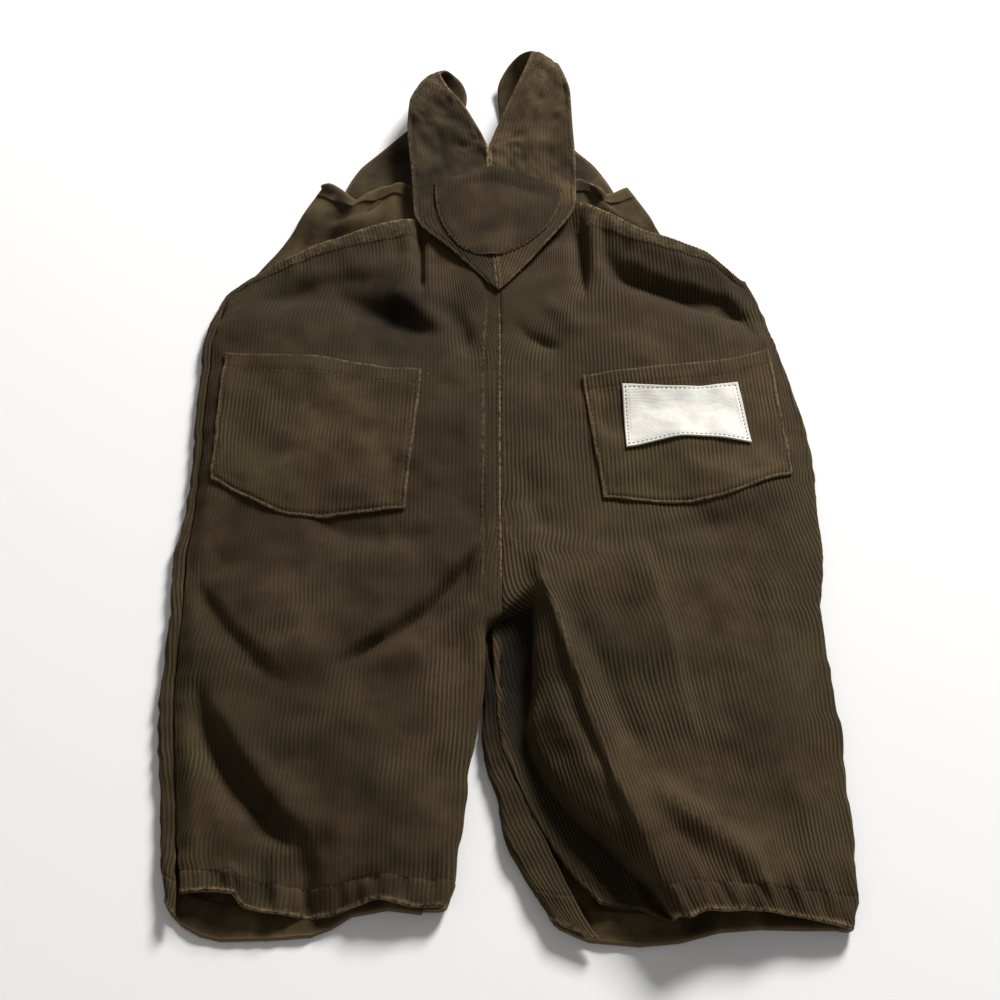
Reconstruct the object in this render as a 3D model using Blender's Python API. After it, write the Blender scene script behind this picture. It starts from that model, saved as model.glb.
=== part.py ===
"""Toddler's corduroy bib overalls, laid face down with the back uppermost.

Every cut piece is one closed cloth solid. X runs across the garment, +Y from the
leg hems to the strap tops, +Z up from the surface the front rests on.
Tables below are in millimetres; each row is one section across a piece.
"""
import math

import bpy
import numpy as np
from mathutils import Vector
from mathutils.bvhtree import BVHTree

MM = 0.001
CLOTH = 1.3             # one ply of corduroy
SEAM_GAP = 0.3          # between pieces that are sewn together
SEAM_CLEAR = 0.7        # the same where one edge leans over the other
FLAT_Z = CLOTH / 2      # middle of a ply that lies on the surface
HEM_PLY = 1.1           # extra thickness of a turned and stitched edge
FELL_PLY = 1.0          # extra thickness of the felled centre-back seam
FELL_WIDTH = 10.0       # width of the felled seam
SIDE_LIP = 6.0          # how far a folded panel carries on past its fold
UNDER_LIP = 3.0
PATCH_PLY = 1.1         # pocket and yoke patch cloth
LABEL_PLY = 1.0
LABEL_CLEAR = 0.5       # the label bridges the small hollows of the pocket
BUTTON_RADIUS = 8.0
BUTTON_HEIGHT = 2.2
OFFSET_X = 0.3
OFFSET_Y = -40.6

# Back, left leg and seat. Places across: side seam, pocket outer edge, middle,
# pocket inner edge, inner edge (leg inseam fold, then the centre-back seam).
BACK_LEFT_ROWS = (
    # name, then side, outer, middle, inner, centre: x, y, z
    ("hem",
     (-143.0, -223, 6.5), (-131, -224, 9.5), (-88, -233.0, 5.6),
     (-51, -228, 10.0), (-25.0, -227.0, 8.0)),
    ("hem_top",
     (-144.0, -211, 6.0), (-133, -212, 9.0), (-88, -219.0, 6.5),
     (-49, -215, 11.0), (-22.5, -214.0, 8.5)),
    ("calf",
     (-147.0, -190, 4.6), (-137, -192, 9.0), (-90, -195.0, 9.5),
     (-46, -193, 12.5), (-18.8, -192.0, 9.0)),
    ("low_knee",
     (-150.0, -163, 4.4), (-140, -165, 9.5), (-91, -167.0, 12.0),
     (-44, -166, 13.0), (-15.6, -165.0, 9.5)),
    ("knee",
     (-153.0, -136, 4.4), (-143, -138, 10.0), (-92, -140.0, 12.5),
     (-41, -139, 12.5), (-11.8, -137.5, 10.0)),
    ("thigh",
     (-155.3, -108, 4.4), (-145, -111, 10.0), (-92, -112.0, 13.0),
     (-37, -111, 12.0), (-8.8, -110.0, 10.5)),
    ("inseam_top",
     (-155.6, -76, 4.4), (-146, -79, 10.0), (-92, -80.0, 13.0),
     (-33, -80, 11.0), (-7.2, -83.0, 10.5)),
    ("crotch",
     (-155.8, -63, 4.4), (-146, -66, 10.0), (-92, -68.0, 12.5),
     (-34, -68, 10.5), (0.6, -73.0, 11.0)),
    ("seat",
     (-156.3, -38, 4.4), (-147, -42, 10.0), (-94, -46.0, 11.5),
     (-38, -45, 10.5), (0.6, -40.0, 10.5)),
    ("pocket_low",
     (-154.7, 8, 4.4), (-147.6, 5.0, 9.0), (-101, -19.0, 11.0),
     (-48, -12.5, 11.0), (0.0, -8.0, 9.5)),
    ("hip",
     (-155.5, 44, 4.4), (-148.0, 41.0, 9.5), (-98, 35.0, 12.5),
     (-45, 31.0, 11.5), (0.0, 31.0, 9.5)),
    ("pocket_top",
     (-156.3, 95, 4.4), (-148.3, 91.5, 8.5), (-96, 83.0, 12.0),
     (-42, 76.0, 11.5), (0.0, 76.0, 9.5)),
    ("chest",
     (-152.0, 119, 4.4), (-140.5, 121.5, 8.0), (-94, 126.0, 10.0),
     (-45, 125.0, 10.0), (0.0, 104.0, 9.5)),
    ("armhole",
     (-148.2, 139, 3.6), (-133.5, 150.5, 7.5), (-93.2, 172.5, 10.5),
     (-46.0, 187.0, 10.0), (-0.4, 138.5, 10.2)),
)

# Back, right leg and seat. Places across: inner edge (inseam on top of the leg, then
# the centre back), foot of the leg fold, crest of the fold (then pocket inner edge),
# middle, pocket outer edge, side fold.
BACK_RIGHT_ROWS = (
    # name, then centre, foot, crest, middle, outer, side: x, y, z
    ("hem",
     (43.5, -223, 6.5), (77.0, -224, 5.4), (83.0, -227, 14.5),
     (109, -226.0, 12.5), (139, -225.0, 10.5), (155.5, -230.0, 7.5)),
    ("hem_top",
     (33.0, -211, 6.0), (66.0, -211, 4.4), (74.5, -213, 17.5),
     (105, -213.0, 13.5), (139, -213.0, 11.0), (157.8, -215.0, 7.0)),
    ("calf",
     (20.6, -190, 4.8), (43.0, -190, 3.4), (61.5, -191, 19.0),
     (100, -192.0, 13.5), (138, -193.0, 11.5), (160.2, -190.0, 6.0)),
    ("low_knee",
     (7.8, -163, 4.8), (21.0, -163, 3.7), (50.0, -164, 19.0),
     (95, -165.0, 13.5), (136.5, -165.0, 12.0), (160.0, -162.0, 6.0)),
    ("knee",
     (-1.0, -137, 4.6), (12.5, -136, 3.2), (42.0, -138, 18.5),
     (88, -140.0, 14.0), (135.5, -138.0, 12.0), (160.0, -135.0, 6.0)),
    ("thigh",
     (-3.4, -110, 4.6), (15.5, -110, 3.2), (35.0, -112, 18.0),
     (84, -114.0, 14.0), (134, -112.0, 12.0), (158.4, -108.0, 6.0)),
    ("inseam_top",
     (-4.2, -78, 3.2), (16.5, -70, 3.6), (26.5, -76, 16.5),
     (80, -82.0, 14.0), (131, -81.0, 12.0), (157.6, -77.0, 6.0)),
    ("crotch",
     (1.2, -73, 11.0), (14.5, -63, 12.0), (23.0, -62, 16.5),
     (80, -69.0, 14.0), (131, -68.0, 12.0), (158.0, -64.0, 6.0)),
    ("seat",
     (1.2, -40, 10.5), (12.5, -40, 11.5), (21.0, -42, 14.0),
     (84, -46.0, 13.5), (134, -42.0, 12.0), (161.0, -38.0, 6.0)),
    ("pocket_low",
     (0.6, -8, 9.5), (25.5, -8, 11.5), (52.3, -6.5, 11.5),
     (96, -11.0, 12.5), (149.7, 8.0, 10.0), (162.2, 13.0, 6.0)),
    ("hip",
     (0.6, 31, 9.5), (23.4, 30, 11.5), (48.3, 30.0, 11.5),
     (96, 32.0, 12.5), (147.8, 45.0, 10.0), (159.0, 49.0, 6.0)),
    ("pocket_top",
     (0.6, 76, 9.5), (21.3, 75, 11.5), (44.2, 73.0, 11.5),
     (94, 78.0, 11.5), (144.2, 92.5, 8.5), (149.8, 97.0, 5.5)),
    ("chest",
     (0.6, 104, 9.5), (22.9, 114, 11.0), (43.9, 127.0, 11.0),
     (88, 130.0, 8.5), (130.5, 127.0, 7.5), (143.8, 124.0, 5.5)),
    ("armhole",
     (0.2, 138.5, 10.2), (23.0, 176.5, 10.2), (42.0, 201.0, 10.0),
     (79, 177.0, 10.5), (114, 164.5, 8.0), (136.6, 146.0, 4.6)),
)

# Front, left: inner edge and middle of the sections, silhouette of the side fold.
# The side seam itself is where the back panel ends.
FRONT_LEFT_ROWS = (
    # name         y_inner  y_middle  x_inner  x_fold
    ("hem",        -227.0,  -240.0,   -35.5,   -149.0),
    ("hem_top",    -214.5,  -227.0,   -33.0,   -151.0),
    ("calf",       -192.0,  -199.0,   -29.6,   -154.0),
    ("low_knee",   -165.0,  -168.0,   -26.6,   -157.2),
    ("knee",       -138.0,  -140.0,   -23.0,   -160.0),
    ("thigh",      -110.0,  -112.0,   -20.5,   -162.0),
    ("inseam_top", -78.5,   -80.0,    -10.0,   -161.6),
    ("crotch",     -65.0,   -67.0,    -0.3,    -162.0),
    ("seat",       -40.0,   -41.0,    -0.3,    -162.8),
    ("pocket_low", 8.0,     8.0,      -0.3,    -158.6),
    ("hip",        44.0,    44.0,     -0.3,    -160.0),
    ("pocket_top", 93.0,    94.0,     -0.6,    -161.0),
    ("chest",      116.0,   117.0,    -1.8,    -157.0),
    ("armhole",    131.0,   132.5,    -2.8,    -150.5),
)

# Bib part of each front: inner edge, outer edge (armhole then bib side), ply height.
BIB_LEFT_ROWS = (
    # name        y_inner  y_outer   x_inner  x_outer   z
    ("low",       148.0,   152.5,    -4.4,    -138.5,   0.75),
    ("mid",       165.0,   171.0,    -6.6,    -126.0,   0.75),
    ("waist",     179.0,   183.0,    -8.8,    -119.0,   1.8),
    ("side",      192.0,   195.0,    -10.8,   -113.0,   4.85),
    ("top",       215.5,   215.5,    -14.3,   -102.0,   4.85),
)
BIB_RIGHT_ROWS = (
    ("low",       148.0,   156.0,    -3.8,    130.0,    0.75),
    ("mid",       165.0,   172.0,    -6.0,    104.0,    0.75),
    ("waist",     179.0,   183.0,    -8.2,    92.0,     1.8),
    ("side",      192.0,   195.0,    -10.2,   85.5,     4.85),
    ("top",       215.5,   215.5,    -13.7,   74.0,     4.85),
)

# Front, right: the inner side folds up over the leg as far as the inseam on top.
FRONT_RIGHT_ROWS = (
    # name         y_inner  y_middle  x_inner
    ("hem",        -230.0,  -240.0,   23.0),
    ("hem_top",    -217.0,  -227.0,   15.0),
    ("calf",       -193.0,  -199.0,   3.6),
    ("low_knee",   -164.0,  -168.0,   -2.6),
    ("knee",       -137.0,  -139.0,   -8.6),
    ("thigh",      -110.0,  -111.0,   -8.2),
    ("inseam_top", -78.5,   -79.0,    -6.2),
    ("crotch",     -65.0,   -66.0,    0.3),
    ("seat",       -40.0,   -41.0,    0.3),
    ("pocket_low", 8.0,     8.0,      0.3),
    ("hip",        44.0,    44.0,     0.3),
    ("pocket_top", 93.0,    94.0,     0.0),
    ("chest",      116.0,   118.0,    -1.2),
    ("armhole",    131.0,   134.0,    -2.2),
)

# Straps: both long edges, from the point of the yoke up, over the fold and back
# under to the button. The inner edge is the one beside the centre back.
STRAP_LEFT_STATIONS = (
    # name          inner                  outer
    ("yoke_point",  (-1.2, 132.5, 12.2),   (-6.5, 138.0, 12.2)),
    ("yoke_low",    (-3.2, 160.0, 12.8),   (-27.0, 162.0, 12.4)),
    ("yoke_high",   (-5.2, 196.0, 13.2),   (-48.5, 188.5, 12.4)),
    ("notch",     (-7.2, 240.0, 13.6),   (-51.5, 224.0, 13.4)),
    ("rise",      (-9.6, 249.0, 14.4),  (-54.5, 257.0, 15.0)),
    ("shoulder",    (-22.8, 276.0, 17.5),  (-53.8, 277.0, 16.0)),
    ("crest",       (-31.8, 289.0, 18.5),  (-49.0, 290.5, 16.4)),
    ("fold_top",    (-35.6, 301.0, 16.5),  (-44.0, 301.0, 13.5)),
    ("fold_end",    (-30.5, 309.0, 10.5),  (-41.5, 306.5, 9.0)),
    ("fold_low",    (-23.5, 306.5, 4.5),   (-41.5, 299.5, 4.2)),
    ("under_top",   (-20.0, 296.0, 0.9),   (-45.5, 287.0, 0.9)),
    ("under_mid",   (-24.0, 272.0, 0.65),  (-54.5, 270.5, 0.65)),
    ("under_low",   (-36.0, 247.0, 0.65),  (-69.0, 252.5, 0.65)),
    ("bib_edge",    (-48.0, 226.0, 1.6),   (-83.0, 234.0, 1.6)),
    ("button",      (-53.5, 212.0, 3.15),  (-90.0, 215.0, 3.15)),
    ("end",         (-57.0, 196.0, 3.15),  (-93.5, 198.5, 3.15)),
)
STRAP_RIGHT_STATIONS = (
    ("yoke_point",  (-0.2, 132.5, 12.2),   (4.6, 138.0, 12.2)),
    ("yoke_low",    (-2.2, 160.0, 12.8),   (24.0, 164.5, 12.4)),
    ("yoke_high",   (-4.4, 196.0, 13.2),   (43.5, 200.0, 12.4)),
    ("notch",     (-6.2, 240.0, 13.6),   (43.8, 230.0, 13.4)),
    ("rise",      (-4.2, 248.5, 14.4),   (42.6, 261.0, 15.2)),
    ("shoulder",    (7.6, 282.5, 18.5),    (41.8, 284.0, 17.5)),
    ("crest",       (15.5, 303.0, 21.5),   (37.5, 300.0, 19.5)),
    ("fold_top",    (19.0, 316.5, 20.0),   (34.5, 309.0, 17.0)),
    ("fold_end",    (12.5, 320.5, 14.5),   (33.0, 311.5, 11.5)),
    ("fold_low",    (3.5, 313.5, 8.0),     (32.0, 305.5, 5.5)),
    ("under_top",   (-1.5, 300.0, 3.4),    (32.5, 293.0, 1.8)),
    ("under_mid",   (0.0, 275.0, 0.8),     (35.0, 276.0, 0.65)),
    ("under_low",   (9.0, 248.0, 0.65),    (42.0, 256.5, 0.65)),
    ("bib_edge",    (22.5, 225.0, 1.6),    (55.5, 238.0, 1.6)),
    ("button",      (31.5, 210.0, 3.15),   (64.5, 219.0, 3.15)),
    ("end",         (37.5, 196.0, 3.15),   (70.5, 204.0, 3.15)),
)

# Yoke patch: half widths about a line that leans with the yoke.
YOKE_PATCH_ROWS = (
    # name      y        x_left    x_right
    ("tip",     157.5,   -12.0,    1.5),
    ("round",   162.0,   -20.5,    9.5),
    ("low",     171.0,   -27.5,    19.5),
    ("side",    186.0,   -34.0,    29.5),
    ("upper",   204.0,   -37.0,    34.5),
    ("top",     221.0,   -37.5,    36.0),
)

# Lines of the free edges, x and y: the four leg hems and the two bib tops.
BACK_LEFT_HEM = ((-145.8, -218.2), (-126.7, -218.2), (-117.7, -219.6), (-113.7, -225.2), (-103.8, -227.6),
                 (-88.3, -228.5), (-74.6, -228.5), (-66.4, -225.2), (-53.2, -222.0), (-39.8, -225.2),
                 (-26.6, -224.8))
BACK_RIGHT_HEM = ((43.0, -223.0), (60.0, -225.0), (76.0, -231.0), (83.4, -234.0), (90.2, -230.3),
                  (107.9, -228.9), (131.9, -230.7), (153.5, -234.4))
FRONT_LEFT_HEM = ((-149.1, -221.2), (-146.4, -226.5), (-141.4, -231.5), (-133.0, -236.2),
                  (-123.5, -238.5), (-101.5, -238.0),
                  (-83.9, -236.6), (-74.8, -232.9), (-66.0, -227.0), (-50.0, -224.0), (-35.0, -226.0))
FRONT_RIGHT_HEM = ((20.0, -225.9), (26.6, -232.9), (39.7, -238.9), (61.6, -240.9), (79.3, -239.2),
                   (97.3, -234.3), (115.1, -232.9), (132.8, -233.4), (154.9, -233.4))
BIB_LEFT_TOP = ((-104.0, 219.5), (-98.0, 218.0), (-90.0, 212.5), (-82.5, 206.5), (-77.0, 211.0),
                (-69.0, 218.0), (-58.0, 219.5), (-46.0, 217.0), (-14.0, 215.5))
BIB_RIGHT_TOP = ((-14.0, 215.5), (30.0, 219.0), (46.0, 224.0), (53.0, 219.5), (59.5, 210.5), (65.0, 212.0),
                 (70.0, 215.5), (74.0, 217.5))
# Top and bottom edges of the woven label, x and y.
LABEL_TOP = ((66.6, 64.2), (97.2, 62.1), (126.6, 66.2))
LABEL_BOTTOM = ((67.6, 23.3), (98.5, 29.8), (130.8, 25.3))
# Soft creases pressed into the back panels: line from start to end, width of the
# cloth it moves, how deep (negative) or high (positive).
CREASES = (
    # x0      y0      x1      y1     width  height
    (-140.0, -128.0, -106.0, -184.0, 12.0,  -4.0),   # long trough down the left calf
    (-100.0, -188.0, -82.0,  -208.0, 12.0,  -3.0),
    (-12.0,  -38.0,  -34.0,  -70.0,  7.0,   -3.0),   # fold out of the crotch, left
    (-38.0,  -73.0,  -78.0,  -102.0, 8.0,   -2.4),
    (-144.0, -66.0,  -112.0, -106.0, 11.0,  -1.6),
    (-120.0, -226.0, -118.0, -205.0, 12.0,  3.0),    # lifted hem, left
    (-44.0,  176.0,  -43.0,  132.0,  5.0,   -2.6),   # pleat below the yoke, left
    (-80.0,  142.0,  -34.0,  92.0,   13.0,  -2.6),   # slack below the armhole, left
    (44.0,   186.0,  46.0,   130.0,  5.0,   -2.8),   # pleat below the yoke, right
    (52.0,   172.0,  128.0,  120.0,  9.0,   -2.6),   # trough below the armhole, right
    (96.0,   -60.0,  104.0,  -150.0, 12.0,  -1.4),
    (58.0,   -60.0,  64.0,   -120.0, 10.0,  -2.0),   # trough beside the leg fold
    (80.0,   -176.0, 118.0,  -206.0, 9.0,   1.6),    # low ridge down the right calf
    (-124.0, -8.0,   -60.0,  -40.0,  12.0,  -1.4),
)
# Where sections are sampled, in rows of the tables above.
BODY_SAMPLES = [0, 1, 1.1, 2, 2.5, 3, 3.5, 4, 4.5, 5, 5.5, 6, 7, 7.5, 8, 8.5, 9, 9.42, 9.84, 10.3,
                10.78, 11, 11.5, 12, 12.5, 12.6, 13]
TOP_THIGH = 5       # row where the legs still close as tubes
INSEAM_TOP = 6      # last row with two separate legs
CHEST = 12          # last row with a closed side seam fold
FOLD_STEPS = 6
FLAT_STEPS = 5

CORDUROY = ("corduroy", (0.052, 0.036, 0.019), 0.92, 0.0)
STRAP_CLOTH = ("strap_corduroy", (0.058, 0.040, 0.022), 0.92, 0.0)
POCKET_CLOTH = ("pocket_corduroy", (0.056, 0.038, 0.020), 0.92, 0.0)
LABEL_CLOTH = ("woven_label", (0.66, 0.63, 0.57), 0.85, 0.0)
BUTTON_PLASTIC = ("button_plastic", (0.045, 0.032, 0.020), 0.42, 0.0)


def clear_scene():
    for thing in list(bpy.data.objects):
        bpy.data.objects.remove(thing, do_unlink=True)


def smooth_curve(knots, values, at):
    """Smooth curve through values, never overshooting between neighbours."""
    knots = np.asarray(knots, float)
    values = np.asarray(values, float)
    at = np.asarray(at, float)
    gap = np.diff(knots)
    slope = np.diff(values) / gap
    tangent = np.zeros(len(knots))
    tangent[0] = slope[0]
    tangent[-1] = slope[-1]
    for i in range(1, len(knots) - 1):
        if slope[i - 1] * slope[i] > 0.0:
            w0 = 2.0 * gap[i] + gap[i - 1]
            w1 = gap[i] + 2.0 * gap[i - 1]
            tangent[i] = (w0 + w1) / (w0 / slope[i - 1] + w1 / slope[i])
    spot = np.clip(np.searchsorted(knots, at, side="right") - 1, 0, len(gap) - 1)
    t = (at - knots[spot]) / gap[spot]
    h = gap[spot]
    return ((2 * t**3 - 3 * t**2 + 1) * values[spot] + (t**3 - 2 * t**2 + t) * h * tangent[spot]
            + (3 * t**2 - 2 * t**3) * values[spot + 1] + (t**3 - t**2) * h * tangent[spot + 1])


def sample_rows(table, row_at):
    """Every column of a table, carried smoothly from row to row."""
    values = np.array([np.ravel(row[1:]) if np.ndim(row[1]) == 0 else np.concatenate(row[1:])
                       for row in table], float)
    knots = list(range(len(table)))
    return np.stack([smooth_curve(knots, values[:, c], row_at) for c in range(values.shape[1])], axis=1)


def spread_sections(sections, place_knots, place_at):
    """Sections with the same places, resampled across; returns [section, place, xyz]."""
    grid = np.zeros((len(sections), len(place_at), 3))
    for r, section in enumerate(sections):
        points = np.asarray(section, float)
        for axis in range(3):
            grid[r, :, axis] = smooth_curve(place_knots, points[:, axis], place_at)
    return grid


def crease_height(x, y):
    """Height the creases add at points x, y."""
    total = np.zeros_like(x)
    for x0, y0, x1, y1, width, height in CREASES:
        length = math.hypot(x1 - x0, y1 - y0)
        ux = (x1 - x0) / length
        uy = (y1 - y0) / length
        along = (x - x0) * ux + (y - y0) * uy
        across = (x - x0) * -uy + (y - y0) * ux
        beyond = np.maximum(np.maximum(-along, along - length), 0.0)
        total += height * np.exp(-(across / width) ** 2) * np.exp(-(beyond / (0.9 * width)) ** 2)
    return total


def press_creases(grid, fade):
    """Add the creases; fade (0..1 per place) keeps sewn and folded edges still."""
    grid[:, :, 2] += crease_height(grid[:, :, 0], grid[:, :, 1]) * fade
    return grid


def set_free_edge(grid, away, end, line):
    """Slide the rows near one end along y until that end follows its line; away is 1 there, 0 beyond."""
    spots, wanted = np.array(line).T
    shift = np.interp(grid[end, :, 0], spots, wanted) - grid[end, :, 1]
    grid[:, :, 1] += away[:, None] * shift[None, :]


def fold_run(x_fold, y, z_high, side, length, steps, z_low=FLAT_Z, from_top=True):
    """Ply going round a soft fold: half circle first, then straight back inward."""
    radius = (z_high - z_low) / 2
    x_start = x_fold - side * radius
    points = []
    for k in range(steps + 1):
        s = length * k / steps
        if s < math.pi * radius:
            drop = radius * (1.0 - math.cos(s / radius))
            x = x_start + side * radius * math.sin(s / radius)
        else:
            drop = 2.0 * radius
            x = x_start - side * (s - math.pi * radius)
        points.append((x, y, z_high - drop if from_top else z_low + drop))
    return points


def half_round(z_high, z_low=FLAT_Z):
    return math.pi * (z_high - z_low) / 2


def easing(share):
    share = np.clip(share, 0.0, 1.0)
    return share * share * (3.0 - 2.0 * share)


def grid_normals(grid):
    across = np.gradient(grid, axis=1)
    along = np.gradient(grid, axis=0)
    normal = np.cross(across, along)
    return normal / np.maximum(np.linalg.norm(normal, axis=2, keepdims=True), 1e-9)


def material_for(finish):
    name, colour, roughness, metallic = finish
    if name in bpy.data.materials:
        return bpy.data.materials[name]
    material = bpy.data.materials.new(name)
    material.use_nodes = True
    shader = material.node_tree.nodes["Principled BSDF"]
    shader.inputs["Base Color"].default_value = (*colour, 1.0)
    shader.inputs["Roughness"].default_value = roughness
    shader.inputs["Metallic"].default_value = metallic
    material.diffuse_color = (*colour, 1.0)
    return material


def add_solid(name, points, faces, finish):
    shifted = [((x + OFFSET_X) * MM, (y + OFFSET_Y) * MM, z * MM) for x, y, z in points]
    mesh = bpy.data.meshes.new(name)
    mesh.from_pydata(shifted, [], faces)
    mesh.validate()
    mesh.update()
    solid = bpy.data.objects.new(name, mesh)
    bpy.context.scene.collection.objects.link(solid)
    mesh.materials.append(material_for(finish))
    return solid


def sheet_solid(name, upper, lower, finish):
    """Close two matching grids of points into one cloth wall, upper side facing out."""
    rows, places = upper.shape[:2]
    points = [tuple(p) for p in upper.reshape(-1, 3)] + [tuple(p) for p in lower.reshape(-1, 3)]
    low = rows * places
    faces = []
    for r in range(rows - 1):
        for c in range(places - 1):
            a = r * places + c
            b = a + 1
            d = a + places
            e = d + 1
            faces.append((a, b, e))
            faces.append((a, e, d))
            faces.append((low + a, low + e, low + b))
            faces.append((low + a, low + d, low + e))
    rim = [c for c in range(places)]
    rim += [r * places + places - 1 for r in range(1, rows)]
    rim += [(rows - 1) * places + c for c in range(places - 2, -1, -1)]
    rim += [r * places for r in range(rows - 2, 0, -1)]
    for i, a in enumerate(rim):
        b = rim[(i + 1) % len(rim)]
        faces.append((a, low + a, low + b))
        faces.append((a, low + b, b))
    return add_solid(name, points, faces, finish)


def offset_pair(grid, outward, inward):
    """Outer and inner faces of a ply about its middle surface."""
    normal = grid_normals(grid)
    return grid + normal * outward[..., None], grid - normal * inward[..., None]


def spaced(knots, counts):
    """Sample positions: counts[i] equal steps between knot i and knot i + 1."""
    out = [knots[0]]
    for a, b, n in zip(knots[:-1], knots[1:], counts):
        out += [a + (b - a) * (k + 1) / n for k in range(n)]
    return out


def build_back_left():
    sections = []
    for row, values in zip(BODY_SAMPLES, sample_rows(BACK_LEFT_ROWS, BODY_SAMPLES)):
        side, outer, middle, inner, centre = values.reshape(5, 3)
        points = [side, outer, middle, inner]
        if row <= INSEAM_TOP:
            half = half_round(centre[2])
            turn = (half + SIDE_LIP) + (0.6 * half - half - SIDE_LIP) * easing(row - TOP_THIGH)
            points += fold_run(centre[0], centre[1], centre[2], 1, turn, FOLD_STEPS)
        else:
            start = centre[0] - FELL_WIDTH
            for step in range(FOLD_STEPS + 1):
                x = start + (FELL_WIDTH - SEAM_GAP) * step / FOLD_STEPS
                share = (x - inner[0]) / (centre[0] - inner[0])
                points.append((x, inner[1] + (centre[1] - inner[1]) * share, centre[2]))
        sections.append(points)
    place_knots = [0.0, 0.08, 0.36, 0.64, 0.90, 0.917, 0.933, 0.95, 0.967, 0.983, 1.0]
    place_at = spaced(place_knots, [1, 4, 3, 3, 1, 1, 1, 1, 1, 1])
    row_at = BODY_SAMPLES
    grid = spread_sections(sections, place_knots, place_at)
    place = np.array(place_at)[None, :]
    row = np.array(row_at)[:, None]
    fade = np.clip(place / 0.08, 0, 1) * np.clip((0.93 - place) / 0.12, 0, 1)
    press_creases(grid, fade)
    set_free_edge(grid, 1 - easing(row[:, 0] / 2.4), 0, BACK_LEFT_HEM)
    outward = np.full(grid.shape[:2], CLOTH / 2)
    inward = np.full(grid.shape[:2], CLOTH / 2)
    inward += HEM_PLY * (row <= 1.0) * np.ones_like(place)
    inward += HEM_PLY * (row > 12.55) * (place > 0.03) * (place < 0.62)
    outward += FELL_PLY * (place > 0.91) * (row > 7.5) * (row < 12.3)
    upper, lower = offset_pair(grid, outward, inward)
    sheet_solid("back_left", upper, lower, CORDUROY)
    return grid, upper, place_at, row_at


def build_back_right():
    sections = []
    for row, values in zip(BODY_SAMPLES, sample_rows(BACK_RIGHT_ROWS, BODY_SAMPLES)):
        centre, foot, crest, middle, outer, side = values.reshape(6, 3)
        rolled = 1 - easing((row - 5.4) / 1.2)
        share = np.array([0.31 - 0.15 * rolled, 0.31, 0.31 + 0.38 * rolled])
        shoulder = foot + (crest - foot) * share
        fold = fold_run(side[0], side[1], side[2], 1, half_round(side[2]) + UNDER_LIP, FOLD_STEPS)
        edge = (centre[0] + SEAM_GAP / 2, centre[1], centre[2])
        sections.append([edge, foot, shoulder, crest, middle, outer] + fold)
    place_knots = [0.0, 0.10, 0.15, 0.26, 0.54, 0.88, 0.92, 0.933, 0.947, 0.96, 0.973, 0.987, 1.0]
    place_at = [0.0, 0.05, 0.10, 0.125, 0.15, 0.18, 0.22, 0.26, 0.31, 0.37, 0.46, 0.54, 0.65, 0.76,
                0.82, 0.88, 0.92, 0.933, 0.947, 0.96, 0.973, 0.987, 1.0]
    row_at = BODY_SAMPLES
    grid = spread_sections(sections, place_knots, place_at)
    place = np.array(place_at)[None, :]
    row = np.array(row_at)[:, None]
    fade = np.clip(place / 0.10, 0, 1) * np.clip((0.94 - place) / 0.08, 0, 1)
    press_creases(grid, fade)
    set_free_edge(grid, 1 - easing(row[:, 0] / 2.4), 0, BACK_RIGHT_HEM)
    outward = np.full(grid.shape[:2], CLOTH / 2)
    inward = np.full(grid.shape[:2], CLOTH / 2)
    inward += HEM_PLY * (row <= 1.0) * (place < 0.93)
    inward += HEM_PLY * (row > 12.55) * (place > 0.27) * (place < 0.93)
    upper, lower = offset_pair(grid, outward, inward)
    sheet_solid("back_right", upper, lower, CORDUROY)
    return grid, upper, place_at, row_at


def flat_run(x_from, x_to, y_from, y_middle, y_to, z, steps):
    """Points of a ply lying on the surface; its edge may bow in the middle."""
    points = []
    for k in range(steps + 1):
        s = k / steps
        bow = 4.0 * s * (1.0 - s)
        line = y_from + (y_to - y_from) * s
        points.append((x_from + (x_to - x_from) * s,
                       line + (y_middle - (y_from + y_to) / 2) * bow, z))
    return points


def front_left_sections():
    """Inner edge, flat run, then up round the side fold to the seam on top."""
    sections = []
    backs = sample_rows(BACK_LEFT_ROWS, BODY_SAMPLES)
    for row, values, back in zip(BODY_SAMPLES, sample_rows(FRONT_LEFT_ROWS, BODY_SAMPLES), backs):
        y_in, y_mid, x_in, x_fold = values
        x_seam, y_side, z_seam = back[:3]
        turn = half_round(z_seam) + (x_seam - SEAM_CLEAR) - (x_fold + (z_seam - FLAT_Z) / 2)
        turn += (0.5 * half_round(z_seam) - turn) * easing(row - CHEST)
        fold = fold_run(x_fold, y_side, z_seam, -1, turn, FOLD_STEPS, from_top=False)
        flat = flat_run(x_in, fold[0][0], y_in, y_mid, y_side, FLAT_Z, FLAT_STEPS)
        sections.append((flat + fold[1:])[::-1])
    return sections


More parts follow.
